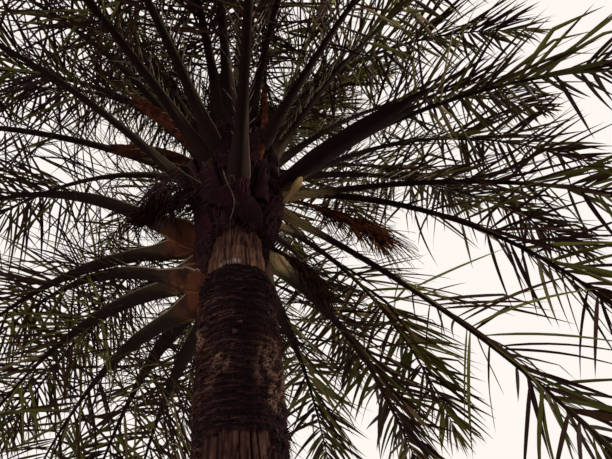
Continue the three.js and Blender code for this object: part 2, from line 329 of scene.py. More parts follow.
def tier_fronds():
    """Every frond by tier, with the solid that stands for it."""
    fronds = {}
    for tier, rows in TIERS.items():
        fronds[tier] = []
        for index, row in enumerate(rows):
            length = FROND_LENGTH + FROND_LENGTH_SPREAD * math.sin(math.radians(row[0] * LENGTH_WAVES))
            fronds[tier].append(Frond(f"{tier}_{index + 1}", *row, length))
    fronds["inner_crown"] = []
    for index, azimuth in enumerate(np.linspace(*CROWN_AZIMUTHS, CROWN_FROND_COUNT)):
        step = (index * 5) % 3 - 1
        row = [size + step * change for size, change in CROWN_ARCH]
        fronds["inner_crown"].append(Frond("inner_crown", float(azimuth), *row))
    return fronds


def all_fronds():
    return [frond for fronds in tier_fronds().values() for frond in fronds]


def nodes_of(fronds):
    return list(dict.fromkeys(frond.node for frond in fronds))


def frond_path(frond, stations):
    roll = math.radians(BLADE_ROLL) * smoothstep(0, 1.5, stations)
    row = (frond.azimuth, frond.base_height, frond.rise, frond.droop)
    return rolled(arch(*row, DROOP_LENGTH, stations), roll)


def check_frond(frond):
    """Stops the script if a frond doesn't lie in its solid's box."""
    low, high = (np.array(corner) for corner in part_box(frond.node))
    middle = frond_path(frond, np.array([1.0, 2.0, 3.0])).point
    if (middle < low - 0.06).any() or (middle > high + 0.06).any():
        raise RuntimeError(f"the rib of {frond.node} leaves its solid")


# Meshes


def ring_faces(rings, sides):
    """Faces between closed rings that follow each other, with a face at each end."""
    ring, side = grid(np.arange(rings - 1), np.arange(sides))
    low = ring * sides + side
    low_next = ring * sides + (side + 1) % sides
    faces = np.stack([low, low_next, low_next + sides, low + sides], axis=-1)
    faces = faces.reshape(-1, 4).tolist()
    last = (rings - 1) * sides
    faces.append(list(range(sides))[::-1])
    faces.append(list(range(last, last + sides)))
    return faces


def wall_faces(rows, columns):
    """Faces of a thin closed wall: its outer sheet of points comes first, then the inner one."""
    sheet = rows * columns
    faces = []
    for row in range(rows - 1):
        for column in range(columns - 1):
            low = row * columns + column
            high = low + columns
            faces.append([low, low + 1, high + 1, high])
            faces.append([sheet + low, sheet + high, sheet + high + 1, sheet + low + 1])
    for row in range(rows - 1):
        low, high = row * columns, (row + 1) * columns
        faces.append([low, high, sheet + high, sheet + low])
        low, high = low + columns - 1, high + columns - 1
        faces.append([low, sheet + low, sheet + high, high])
    for column in range(columns - 1):
        low, high = column, (rows - 1) * columns + column
        faces.append([low, sheet + low, sheet + low + 1, low + 1])
        faces.append([high, high + 1, sheet + high + 1, sheet + high])
    return faces


class Heap:
    """Points, faces, slots and attributes of many like shapes that become one mesh."""

    def __init__(self):
        self.points = []
        self.faces = []
        self.slots = []
        self.attributes = {}
        self.count = 0

    def add(self, points, faces, slots=0, **attributes):
        points = np.asarray(points).reshape(-1, 3)
        self.points.append(points)
        self.faces.extend([[index + self.count for index in face] for face in faces])
        self.slots.extend([slots] * len(faces) if isinstance(slots, int) else slots)
        for name, values in attributes.items():
            spread = np.broadcast_to(np.ravel(values), len(points))
            self.attributes.setdefault(name, []).append(spread)
        self.count += len(points)

    def piece(self, name, materials):
        return make_piece(
            name,
            np.concatenate(self.points),
            self.faces,
            materials,
            self.slots,
            {key: np.concatenate(values) for key, values in self.attributes.items()},
        )


def ring_piece(name, points, material, marks):
    """A closed piece of rings of points, with an attribute for each mark."""
    marks = {key: np.ravel(values) for key, values in marks.items()}
    faces = ring_faces(*points.shape[:2])
    return make_piece(name, points.reshape(-1, 3), faces, [material], attributes=marks)


def link_object(name, data):
    made = bpy.data.objects.new(name, data)
    bpy.context.scene.collection.objects.link(made)
    return made


def make_piece(name, points, faces, materials, slots=None, attributes=None, edges=()):
    mesh = bpy.data.meshes.new(name)
    mesh.from_pydata(points.tolist(), list(edges), faces)
    for material in materials:
        mesh.materials.append(material)
    if faces:
        mesh.polygons.foreach_set("use_smooth", [True] * len(faces))
    if slots is not None:
        mesh.polygons.foreach_set("material_index", slots)
    for key, values in (attributes or {}).items():
        kind, field = ("FLOAT", "value") if np.ndim(values) == 1 else ("FLOAT_VECTOR", "vector")
        layer = mesh.attributes.new(key, kind, "POINT")
        layer.data.foreach_set(field, np.ravel(values).astype(np.float32))
    mesh.update()
    return link_object(name, mesh)


def settle(piece, material_slot, *nodes):
    """A finished piece rides on the palm and stands for its solids."""
    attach(piece, BODY)
    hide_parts(*nodes)


# Node trees


class Value:
    """A socket's value, which takes part in sums."""

    def __init__(self, graph, socket):
        self.graph = graph
        self.socket = socket

    def maths(self, operation, *values):
        return self.graph.node("ShaderNodeMath", {"operation": operation}, dict(enumerate(values)))

    def __add__(self, other):
        return self.maths("ADD", self, other)

    __radd__ = __add__

    def __sub__(self, other):
        return self.maths("SUBTRACT", self, other)

    def __rsub__(self, other):
        return self.maths("SUBTRACT", other, self)

    def __mul__(self, other):
        return self.maths("MULTIPLY", self, other)

    __rmul__ = __mul__

    def between(self, low, high):
        """0 below low and 1 above high, with an even rise between them."""
        return self.graph.node(
            "ShaderNodeMapRange", {"clamp": True}, {0: self, 1: low, 2: high, 3: 0.0, 4: 1.0}
        )


class Graph:
    """Adds nodes to a material's or a geometry tree."""

    def __init__(self, tree):
        self.tree = tree

    def node(self, kind, settings=None, inputs=None, output=0):
        made = self.tree.nodes.new(kind)
        for key, value in (settings or {}).items():
            setattr(made, key, value)
        for key, value in (inputs or {}).items():
            if isinstance(value, Value):
                self.tree.links.new(value.socket, made.inputs[key])
            else:
                made.inputs[key].default_value = value
        return Value(self, made.outputs[output]) if made.outputs else None


class Finish(Graph):
    """A material whose colour, roughness and relief follow patterns on the piece."""

    def __init__(self, name):
        self.material = bpy.data.materials.new(name)
        self.material.use_nodes = True
        super().__init__(self.material.node_tree)
        self.tree.nodes.clear()

    def place(self, stretch):
        here = self.node("ShaderNodeTexCoord", output="Object")
        return self.node("ShaderNodeVectorMath", {"operation": "MULTIPLY"}, {0: here, 1: stretch})

    def noise(self, place, detail, roughness):
        inputs = {"Vector": place, "Scale": 1.0, "Detail": detail, "Roughness": roughness}
        return self.node("ShaderNodeTexNoise", {}, inputs)

    def grain(self, stretch, detail=3.0):
        """Noise with features of one unit once the piece is stretched by stretch."""
        return self.noise(self.place(stretch), detail, 0.6)

    def attribute(self, name):
        return self.node("ShaderNodeAttribute", {"attribute_name": name}, output="Fac")

    def attributes(self, *names):
        return [self.attribute(name) for name in names]

    def mix(self, first, second, factor):
        colours = [value if isinstance(value, Value) else (*value, 1.0) for value in (first, second)]
        return self.node(
            "ShaderNodeMix",
            {"data_type": "RGBA"},
            {0: factor, 6: colours[0], 7: colours[1]},
            output=2,
        )

    def done(self, colour, roughness, relief=None, depth=0.0, specular=0.3):
        if not isinstance(colour, Value):
            colour = (*colour, 1.0)
        inputs = {"Base Color": colour, "Roughness": roughness, "Specular IOR Level": specular}
        if relief is not None:
            inputs["Normal"] = self.node(
                "ShaderNodeBump", {}, {"Strength": 1.0, "Distance": depth, "Height": relief}
            )
        shader = self.node("ShaderNodeBsdfPrincipled", {}, inputs)
        self.node("ShaderNodeOutputMaterial", {}, {"Surface": shader})
        return self.material


def plain_finish(name, colour, roughness):
    return Finish(name).done(tuple(colour), roughness, specular=0.12)


def geometry_tree(name, sizes):
    """An empty geometry tree with a geometry input and output and named sizes."""
    tree = bpy.data.node_groups.new(name, "GeometryNodeTree")
    tree.interface.new_socket("Geometry", in_out="INPUT", socket_type="NodeSocketGeometry")
    for label, (kind, default) in sizes.items():
        socket = tree.interface.new_socket(label, in_out="INPUT", socket_type=kind)
        socket.default_value = default
    tree.interface.new_socket("Geometry", in_out="OUTPUT", socket_type="NodeSocketGeometry")
    graph = Graph(tree)
    start = tree.nodes.new("NodeGroupInput")
    given = {socket.name: Value(graph, socket) for socket in start.outputs if socket.name}
    return graph, given


def close_tree(graph, shape, material):
    """Realizes the shape, paints it and sends it out."""
    real = graph.node("GeometryNodeRealizeInstances", {}, {"Geometry": shape})
    smooth = graph.node("GeometryNodeSetShadeSmooth", {}, {"Geometry": real})
    painted = graph.node("GeometryNodeSetMaterial", {}, {"Geometry": smooth, "Material": material})
    graph.node("NodeGroupOutput", {}, {0: painted})
    return graph.tree


def stored(graph, name, kind="FLOAT"):
    return graph.node("GeometryNodeInputNamedAttribute", {"data_type": kind}, {"Name": name})


def aligned(graph, axis, name, **more):
    """A rotation that turns an axis to the direction stored under a name."""
    inputs = {"Vector": stored(graph, name, "FLOAT_VECTOR"), **more}
    settings = {"axis": axis, "pivot_axis": "Z" if more else "AUTO"}
    return graph.node("FunctionNodeAlignRotationToVector", settings, inputs)


def instances(graph, points, instance, turn, scale):
    inputs = {"Points": points, "Instance": instance, "Rotation": turn, "Scale": scale}
    return graph.node("GeometryNodeInstanceOnPoints", {}, inputs)


def wobbled(graph, shape, amount, size):
    """Moves points by noise, so that no two copies are alike."""
    here = graph.node("GeometryNodeInputPosition")
    field = graph.node(
        "ShaderNodeTexNoise", {}, {"Vector": here, "Scale": size, "Detail": 2.0}, output="Color"
    )
    centred = graph.node(
        "ShaderNodeVectorMath", {"operation": "SUBTRACT"}, {0: field, 1: (0.5, 0.5, 0.5)}
    )
    offset = graph.node("ShaderNodeVectorMath", {"operation": "SCALE"}, {0: centred, "Scale": amount})
    return graph.node("GeometryNodeSetPosition", {}, {"Geometry": shape, "Offset": offset})


def spike_tree(material):
    """A slender spike on each point, along its aim."""
    graph, given = geometry_tree("spikes", {"Sides": ("NodeSocketInt", 5)})
    cone = graph.node(
        "GeometryNodeMeshCone",
        {"fill_type": "NGON"},
        {"Vertices": given["Sides"], "Radius Top": 0.0, "Radius Bottom": 1.0, "Depth": 1.0},
    )
    thick = stored(graph, "thickness")
    scale = graph.node("ShaderNodeCombineXYZ", {}, {0: thick, 1: thick, 2: stored(graph, "reach")})
    spikes = instances(graph, given["Geometry"], cone, aligned(graph, "Z", "aim"), scale)
    return close_tree(graph, spikes, material)


def flake_tree(material):
    """A thin curved plate on each point, its face along aim and its lower edge along hang."""
    graph, given = geometry_tree(
        "flakes",
        {
            "Curl": ("NodeSocketFloat", 0.5),
            "Ragged": ("NodeSocketFloat", 0.01),
            "Ragged size": ("NodeSocketFloat", 60.0),
        },
    )
    plate = graph.node(
        "GeometryNodeMeshCube",
        {},
        {"Size": (1.0, 1.0, 0.07), "Vertices X": 8, "Vertices Y": 5, "Vertices Z": 2},
    )
    here = graph.node("GeometryNodeInputPosition")
    parts = graph.node("ShaderNodeSeparateXYZ", {}, {0: here}).socket.node
    wide, down, deep = (Value(graph, socket) for socket in parts.outputs)
    fall = (0.5 - down) * (0.5 - down)
    bend = fall * 0.35 - wide * wide * given["Curl"]
    narrow = wide * (1.0 - fall * 0.35)
    moved = graph.node("ShaderNodeCombineXYZ", {}, {0: narrow, 1: down, 2: deep + bend})
    curved = graph.node("GeometryNodeSetPosition", {}, {"Geometry": plate, "Position": moved})
    turn = aligned(graph, "Y", "hang", Rotation=aligned(graph, "Z", "aim"))
    size = stored(graph, "size", "FLOAT_VECTOR")
    flakes = instances(graph, given["Geometry"], curved, turn, size)
    real = graph.node("GeometryNodeRealizeInstances", {}, {"Geometry": flakes})
    ragged = wobbled(graph, real, given["Ragged"], given["Ragged size"])
    return close_tree(graph, ragged, material)


def strand_tree(material):
    """A thin round strand along each line of edges, as thick as its stored thickness."""
    graph, given = geometry_tree(
        "strands",
        {
            "Sides": ("NodeSocketInt", 4),
            "Wobble": ("NodeSocketFloat", 0.01),
            "Wobble size": ("NodeSocketFloat", 9.0),
        },
    )
    bent = wobbled(graph, given["Geometry"], given["Wobble"], given["Wobble size"])
    curve = graph.node("GeometryNodeMeshToCurve", {}, {"Mesh": bent})
    section = graph.node(
        "GeometryNodeCurvePrimitiveCircle", {}, {"Resolution": given["Sides"], "Radius": 1.0}
    )
    size = stored(graph, "thickness")
    inputs = {"Curve": curve, "Profile Curve": section, "Scale": size, "Fill Caps": True}
    tubes = graph.node("GeometryNodeCurveToMesh", {}, inputs)
    return close_tree(graph, tubes, material)


def grow(carrier, tree, **sizes):
    """Turns a carrier object into the plain mesh that its geometry tree makes from it."""
    modifier = carrier.modifiers.new(tree.name, "NODES")
    modifier.node_group = tree
    for item in tree.interface.items_tree:
        key = item.name.lower().replace(" ", "_")
        if item.in_out == "INPUT" and key in sizes:
            modifier[item.identifier] = sizes[key]
    graph = bpy.context.evaluated_depsgraph_get()
    mesh = bpy.data.meshes.new_from_object(carrier.evaluated_get(graph))
    carrier.modifiers.remove(modifier)
    old = carrier.data
    carrier.data = mesh
    mesh.name = carrier.name
    bpy.data.meshes.remove(old)
    return carrier


class Strands:
    """Lines of points that become thin strands."""

    def __init__(self):
        self.points = []
        self.edges = []
        self.thickness = []

    def add(self, points, taper):
        first = sum(len(line) for line in self.points)
        self.points.append(points)
        self.thickness.append(np.linspace(*taper, len(points)))
        self.edges.extend((first + step, first + step + 1) for step in range(len(points) - 1))

    def grow(self, name, material, **sizes):
        carrier = make_piece(
            name,
            np.concatenate(self.points),
            [],
            [],
            attributes={"thickness": np.concatenate(self.thickness)},
            edges=self.edges,
        )
        return grow(carrier, strand_tree(material), **sizes)


def falling_line(start, direction, length, steps, pull):
    """A line that starts along direction and is drawn down by its weight."""
    points = [np.array(start, dtype=float)]
    heading = np.array(direction, dtype=float)
    for _ in range(steps):
        heading = unit(heading - UP * pull / steps)
        points.append(points[-1] + heading * length / steps)
    return np.array(points)


# Trunk


def trunk_reach(angle, height):
    return np.interp(height, TRUNK_HEIGHTS, TRUNK_RADII) * ripple(angle, height, TRUNK_RIPPLE)


def worn_layers(angle, height, pitch, count, seed):
    """Worn sheath layers that overhang those below them, broken into pieces round the trunk.

    For each place: how far it stands out; its nearness to its layer's lower lip, which is paler
    both as worn fibre and as a painted highlight; its nearness to the gap under that lip, which
    takes painted shade; and its tone.
    """
    warp = 1.2 * bark_noise(angle, height, 1.6, 2.0, seed) - 0.6
    warp += 0.5 * bark_noise(angle, height, 6.0, 8.0, seed + 1) - 0.25
    warp += 0.3 * bark_noise(angle, height, 26.0, 20.0, seed + 4) - 0.15
    rows = height / pitch + warp
    row = np.floor(rows)
    up_layer = rows - row
    columns = angle / (2 * math.pi) * count + chance(np.stack([row, row * 0], axis=-1), seed + 5)
    column = np.floor(columns)
    across = np.abs(2 * (columns - column) - 1)
    keys = np.stack([row, column % count], axis=-1)
    strength = chance(keys, seed + 2) * (1 - across**8)
    out = np.clip(up_layer / 0.14, 0, 1) * (1 - 0.85 * up_layer) * (0.3 + 0.7 * strength)
    # Nearness to the lower lip: paler both as worn fibre and as a painted highlight
    lip = smoothstep(0.0, 0.1, up_layer) * smoothstep(0.5, 0.2, up_layer) * strength
    # Nearness to the gap under each lip, where shade is painted
    gap = np.maximum(smoothstep(0.6, 0.95, up_layer), smoothstep(0.1, 0.0, up_layer))
    return out, lip, gap, chance(keys, seed + 3)


def near_front(angle):
    """Degrees round the trunk from the middle of its front."""
    return near_azimuth(np.degrees(angle), TRUNK_FRONT)


def patches(angle, height):
    """Nearness, from 0 to 1, to a patch of pale crumbling fibre, partly a painted highlight."""
    near = np.zeros(angle.shape)
    for azimuth, middle, reach in PALE_PATCHES:
        sideways = near_azimuth(np.degrees(angle), azimuth) * math.radians(0.2)
        gap = np.hypot(sideways, (height - middle) * 0.7) / reach
        near = np.maximum(near, smoothstep(1.1, 0.5, gap))
    return near


def bark_zones(angle, height, ragged):
    """Where the fibre band is, the old band below it, and bare wood, from 0 to 1."""
    cracked_top = LOW_CRACKED_TOP - 0.5 * smoothstep(44, 62, near_front(angle))
    band = smoothstep(-BAND_EDGE, BAND_EDGE, height - cracked_top - ragged)
    band *= smoothstep(BAND_EDGE, -BAND_EDGE, height - BAND_TOP - ragged)
    old = smoothstep(0.2, FLARE_TOP, height)
    old *= smoothstep(2 * BAND_EDGE, -2 * BAND_EDGE, height - OLD_BAND_TOP - ragged)
    bare = 1 - np.maximum(band, old * smoothstep(0.1, 0.35, height))
    return band, old * (1 - band), bare


def wood_cracks(angle, height):
    """The cracks of bare wood, from 0 to 1, and its grooves."""
    wander = angle + 0.16 * (bark_noise(angle, height, 2, 2.4, 51) - 0.5)
    cracks = np.abs(bark_noise(wander, height, 6.5, 1.3, 52) - 0.5)
    crack = smoothstep(0.085, 0.02, cracks) * smoothstep(3.1, 2.9, height)
    splits = np.abs(bark_noise(wander, height, 15, 3.2, 53) - 0.5)
    crack = np.maximum(crack, 0.7 * smoothstep(0.08, 0.01, splits))
    return crack, bark_noise(wander, height, 36, 9, 54) - 0.5


def trunk_relief(angle, height, settings):
    """How far the bark stands out from the trunk's solid, with what its finish needs."""

    def field(around, upward, seed):
        return bark_noise(angle, height, around, upward, seed)

    ragged = 0.05 * (field(7, 0, 5) - 0.5)
    ragged += 0.02 * (field(24, 0, 6) - 0.5)
    away = near_front(angle)
    degrees = np.degrees(angle)
    band, old, bare = bark_zones(angle, height, ragged)

    rough = 0.75 + 0.25 * smoothstep(25, 62, away)
    pitch, depth = settings.layer_pitch, settings.layer_depth
    broad, lip, gap, tone = worn_layers(angle, height, pitch, 7, 11)
    fine, fine_lip_and_highlight, fine_gap_shade, fine_tone = worn_layers(angle, height, pitch / 2.1, 12, 21)
    old_layer, old_lip_and_highlight, old_gap_shade, old_tone = worn_layers(angle, height, 1.5 * pitch, 9, 41)
    fibres = field(9, 190, 31) - 0.5
    crumbs = field(34, 70, 32) - 0.5
    crumbly = patches(angle, height) * smoothstep(0.35, 0.6, field(9, 30, 33))
    band_out = depth * rough * (0.75 * broad + 0.5 * fine) + 0.004 * fibres
    band_out += (0.005 + 0.006 * rough + 0.012 * crumbly) * crumbs + 0.008 * crumbly
    old_out = 0.8 * depth * old_layer + 0.3 * depth * fine + 0.003 * fibres + 0.005 * crumbs

    crack, grooves = wood_cracks(angle, height)
    high = smoothstep(-0.012, 0.012, height - NECK_STEP - 0.5 * ragged)
    bare_out = -0.003 - settings.crack_depth * crack + 0.004 * grooves - 0.009 * high
    flare = 0.055 * (field(4.5, 0.8, 61) - 0.45)
    flare_out = flare * smoothstep(FLARE_TOP, 0.0, height) + 0.006 * crumbs
    out = band * band_out + old * old_out
    out += bare * (bare_out * smoothstep(0.1, 0.5, height) + flare_out * (height < FLARE_TOP))

    frays = smoothstep(0.4, 0.6, field(30, 3, 56))
    frays = frays * smoothstep(26, 16, np.abs(degrees - FRAYED_MIDDLE))
    warm = smoothstep(0.45, 0.0, np.abs(height - WARM_MIDDLE)) * field(4, 5, 34)
    # Less warm fibre towards the trunk's front: painted shade under the crown
    warm *= 0.4 + 0.6 * smoothstep(10, 40, away)
    shown = 0.25 + 0.75 * smoothstep(0.36, 0.62, field(1.8, 3, 35))
    # Fewer pale lips towards the trunk's front: painted shade under the crown
    shown *= 0.5 + 0.5 * smoothstep(10, 45, away)
    shown *= 1 - 0.6 * smoothstep(2.52, 2.42, height) * smoothstep(2.28, 2.36, height)
    marks = {
        # Lips of the layers: pale worn fibre and a painted highlight
        "lip": np.maximum(band * np.maximum(lip, fine_lip_and_highlight) * shown, old * old_lip_and_highlight),
        # The gaps under the lips take painted shade
        "gap": np.maximum(band * np.maximum(gap, 0.6 * fine_gap_shade), old * old_gap_shade),
        "tone": np.where(band > 0.5, 0.5 * (tone + fine_tone), old_tone),
        "warm": np.maximum(warm, 0.4 * old),
        "crumbly": crumbly * band,
        "bare": bare,
        # Painted shade in the cracks of bare wood and in a thin line along the fibre band's edges
        "crack": np.maximum(crack * bare, 2.4 * band * (1 - band)),
        # The neck's lighter wood, with more of it on the right side as painted light
        "neck": smoothstep(2.9, 3.1, height) * bare * (0.35 + 0.65 * smoothstep(262, 292, degrees)),
        "high": high * bare,
        "frayed": smoothstep(0.022, 0.008, np.abs(height - BAND_TOP - 0.03 - ragged)) * frays,
    }
    return out, marks


def bark_rings(heights, sides, settings):
    """Rings of bark points, each level except for the relief, from the lowest up."""
    height, angle = grid(heights, ring_turns(sides))
    out, marks = trunk_relief(angle, height, settings)
    return round_points(angle, trunk_reach(angle, height) + out, height), marks


def bark_finish(settings):
    bark = Finish("trunk_bark")
    layers = bark.grain((14, 14, 170), detail=4.0)
    crumbs = bark.grain((80, 80, 90))
    upright = bark.grain((80, 80, 13), detail=4.0)
    streaks = bark.grain((26, 26, 5), detail=5.0)
    lip, tone, bare, crack, gap = bark.attributes("lip", "tone", "bare", "crack", "gap")
    # The lips turn browner, partly as weathered fibre and partly as a painted highlight
    brown = bark.attribute("warm") * 0.8 + lip * 0.7 + tone * 0.35 - 0.15
    fibre = bark.mix(settings.dark_colour, settings.brown_colour, brown * layers.between(0.3, 0.62))
    # Painted shade in the gaps under the lips
    fibre = bark.mix(fibre, settings.gap_shade_colour, gap * 0.9)
    # The lips' pale colour: partly worn fibre, partly a painted highlight
    pale = lip * layers.between(0.44, 0.6) * tone.between(0.2, 0.7) * 0.85
    # Pale crumbling patches: crumbling fibre, and a painted highlight on the trunk's sides
    pale = pale + bark.attribute("crumbly") * crumbs.between(0.42, 0.54)
    fibre = bark.mix(fibre, settings.pale_and_highlight_colour, pale)
    neck = bark.attribute("neck")
    wood = bark.mix(settings.wood_dark_colour, settings.wood_colour, streaks.between(0.36, 0.64))
    light = bark.mix(settings.wood_colour, settings.neck_wood_and_light_colour, streaks.between(0.38, 0.62))
    # The upper step under the sleeve keeps little of the lighter wood: painted shade
    wood = bark.mix(wood, light, neck * (1.0 - bark.attribute("high") * 0.85))
    wood = bark.mix(wood, settings.wood_dark_colour, upright.between(0.51, 0.63) * 0.85)
    # Pale streaks in the wood, stronger where the neck takes painted light
    wood = bark.mix(wood, settings.pale_and_highlight_colour, upright.between(0.46, 0.3) * (0.35 + neck * 0.3))
    # Cracks and the band's edges take the dark fibre colour: painted shade
    wood = bark.mix(wood, settings.dark_colour, crack * 0.95)
    wood = bark.mix(wood, settings.frayed_colour, bark.attribute("frayed"))
    colour = bark.mix(fibre, wood, bare)
    relief = layers * (1 - bare) + upright * bare + crumbs * 0.5
    return bark.done(colour, 0.7 + 0.2 * crumbs, relief, 0.008, specular=0.15)


def surface_spots(draws, count, low, high, spread):
    """Random azimuths and heights on the trunk, more of them where spread says so."""
    angle = draws.uniform(0, 2 * math.pi, count * 3)
    height = draws.uniform(low, high, count * 3)
    kept = draws.random(count * 3) < spread(angle)
    return angle[kept][:count], height[kept][:count]


def sides_spread(angle):
    return 0.04 + 0.96 * smoothstep(30, 75, near_front(angle))


def build_bark(settings):
    material = bark_finish(settings)
    ends = zip((0, *BARK_JOINS), BARK_JOINS, BARK_RINGS)
    flare, low, band, neck = (np.linspace(foot, top, rings) for foot, top, rings in ends)
    levels = {
        "trunk_bark_low": np.append(flare[:-1], low),
        "trunk_bark_band": band,
        "trunk_bark_neck": neck,
    }
    for name, heights in levels.items():
        points, marks = bark_rings(heights, settings.bark_sides, settings)
        settle(ring_piece(name, points, material, marks), "trunk", "trunk")


# The lowest and highest flakes of both bands, and the lowest and highest loose fibres
BAND_FLAKES = (1.9, 3.19)
OLD_FLAKES = (0.5, 1.9)
BAND_FIBRES = (2.2, 3.22)

# Least and greatest width, height and thickness of a flake
FLAKE_SIZES = ((0.015, 0.05), (0.008, 0.022), (0.03, 0.05))


def build_bark_flakes(settings):
    draws = draws_for("flakes")
    count = settings.flake_count
    angle, height = surface_spots(draws, count, *BAND_FLAKES, sides_spread)
    old_angle, old_height = surface_spots(draws, count // 3, *OLD_FLAKES, np.ones_like)
    angle = np.concatenate([angle, old_angle])
    height = np.concatenate([height, old_height])
    points = round_points(angle, trunk_reach(angle, height) + 0.008, height)
    outward = np.stack([np.cos(angle), np.sin(angle), np.zeros_like(angle)], axis=-1)
    tilt = draws.uniform(0.15, 0.75, len(angle))[:, None]
    aim = unit(outward * (1 - 0.35 * tilt) - UP * tilt)
    tangent = np.cross(UP, outward)
    skew = draws.normal(0, 0.22, len(angle))[:, None]
    hang = unit(UP + outward * tilt + tangent * skew)
    size = np.stack([draws.uniform(*limits, len(angle)) for limits in FLAKE_SIZES], axis=-1)
    places = {"aim": aim, "hang": hang, "size": size}
    carrier = make_piece("trunk_flakes", points, [], [], attributes=places)
    tree = flake_tree(fibre_finish("flake_fibre", settings))
    settle(grow(carrier, tree, curl=0.5, ragged=0.016), "trunk", "trunk")


def fibre_finish(name, settings):
    fibre = Finish(name)
    broad = fibre.grain((14, 14, 14))
    fine = fibre.grain((60, 60, 150))
    colour = fibre.mix(settings.dark_colour, settings.brown_colour, broad.between(0.4, 0.62))
    colour = fibre.mix(colour, settings.pale_and_highlight_colour, fine.between(0.54, 0.7) * 0.5)
    return fibre.done(colour, 0.8 + 0.15 * fine, fine, 0.002, specular=0.2)


# Thickness of the strands at their roots and tips
FIBRE_TAPER = (0.0014, 0.0006)
THREAD_TAPER = (0.0018, 0.0007)
CLUMP_TAPER = (0.005, 0.0015)
LONG_THREAD_TAPER = (0.0026, 0.0036)
FLOWER_TAPER = (0.0042, 0.0018)


def build_bark_fibres(settings):
    draws = draws_for("fibres")
    angle, height = surface_spots(draws, settings.fibre_count, *BAND_FIBRES, sides_spread)
    strands = Strands()
    for turn, start in zip(angle, height):
        outward, tangent = level_axes(turn)
        reach = float(trunk_reach(turn, start)) + 0.006
        point = outward * reach + axis_point(start)
        sway = draws.normal(0, 0.9)
        heading = unit(outward * draws.uniform(0.1, 0.5) + tangent * sway - UP * 0.3)
        strands.add(falling_line(point, heading, draws.uniform(0.03, 0.1), 5, 1.2), FIBRE_TAPER)
    piece = strands.grow("trunk_fibres", fibre_finish("trunk_fibre", settings), wobble=0.02)
    settle(piece, "trunk", "trunk")


# Sheaths


# How much finer the sheaths' threads are than their fibres: across, up, and from one to the next
FINER = np.array([3.4, 3.0, 1.0])
SHEATH_SLANT = 0.5
SHEATH_RADIUS = 0.28


def sheath_relief(angle, height, settings):
    """Overlapping leaf sheaths: broad sheets that widen down from their fronds' bases."""
    lowest, tone = np.full(angle.shape, 9.0), np.full(angle.shape, 0.5)
    level, across, rim = (np.zeros(angle.shape) for _ in range(3))
    for index, frond in enumerate(all_fronds()):
        below = frond.base_height - height
        turn = angle - math.radians(frond.azimuth) + SHEATH_SLANT * below + math.pi
        turn = turn % (2 * math.pi) - math.pi
        width = 0.09 + 0.4 * np.clip(below, 0, 0.7)
        width *= 1 + 0.2 * (bark_noise(angle, height, 5.0, 6.0, 84) - 0.5)
        part = turn * SHEATH_RADIUS / width
        covers = (np.abs(part) < 1) & (below > -0.06) & (frond.base_height < lowest)
        keel = np.exp(-((part * 1.3) ** 2)) * smoothstep(0.5, 0.0, below)
        sheet = 0.045 * (4.5 - frond.base_height) + settings.keel_depth * keel
        lowest = np.where(covers, frond.base_height, lowest)
        level = np.where(covers, sheet, level)
        across = np.where(covers, part + index * 3.1, across)
        tone = np.where(covers, float(chance([[index]], 8)[0]), tone)
        rim = np.where(covers, smoothstep(0.8, 1.0, np.abs(part)), rim)
    places = np.stack([across * 15, height * 5, tone * 50], axis=-1)
    fibres = noise(places, 81) - 0.5
    fine = noise(places * FINER + 9.5, 82) - 0.5
    crumbs = bark_noise(angle, height, 26.0, 60.0, 83) - 0.5
    out = level - 0.008 * rim + 0.012 * fibres + 0.006 * fine + 0.006 * crumbs
    marks = {"fibres": fibres + 0.5, "fine": fine + 0.5, "tone": tone, "crease": rim}
    return out, marks


def sleeve_foot(angle):
    """The height of the sleeve's foot, which is higher where the old fronds have gone."""
    foot = SLEEVE_FOOT + SLEEVE_FOOT_SLANT * np.cos(angle - math.radians(SLEEVE_HIGH_SIDE))
    for azimuth, rise in SLEEVE_LIFTS:
        foot = foot + rise * smoothstep(50, 20, near_azimuth(np.degrees(angle), azimuth))
    return foot


def sleeve_fit(angle, rise):
    """How the sleeve's radius shrinks where it is tight: in front, and low down at the left."""
    front = smoothstep(75, 30, near_front(angle)) * smoothstep(0.62, 0.36, rise)
    left = smoothstep(65, 25, near_azimuth(np.degrees(angle), LEFT_SIDE))
    left = left * smoothstep(0.5, 0.22, rise)
    return 1 - 0.22 * np.maximum(front, left)


def build_sleeve(settings):
    rises = np.concatenate([[0, 0.006], np.linspace(0.012, 0.985, settings.sleeve_rings), [1.0]])
    rise, angle = grid(rises, ring_turns(settings.sleeve_sides))
    ragged = 0.07 * (bark_noise(angle, 0, 5, 1, 85) - 0.5)
    ragged += 0.04 * (bark_noise(angle, 0, 22, 1, 86) - 0.5)
    foot = sleeve_foot(angle) + ragged * smoothstep(0.14, 0.0, rise)
    height = foot + (SLEEVE_TOP - foot) * rise
    smooth = np.interp(rise, SLEEVE_RISES, SLEEVE_RADII) * sleeve_fit(angle, rise)
    out, marks = sheath_relief(angle, height, settings)
    shown = smoothstep(0.0, 0.02, rise) * smoothstep(1.0, 0.9, rise)
    reach = smooth * ripple(angle, height, SLEEVE_RIPPLE) + (out - 0.04) * shown
    points = round_points(angle, reach, height)
    piece = ring_piece("sheath_sleeve", points, sheath_finish(settings), marks)
    settle(piece, "sheath", "leaf_sheaths")


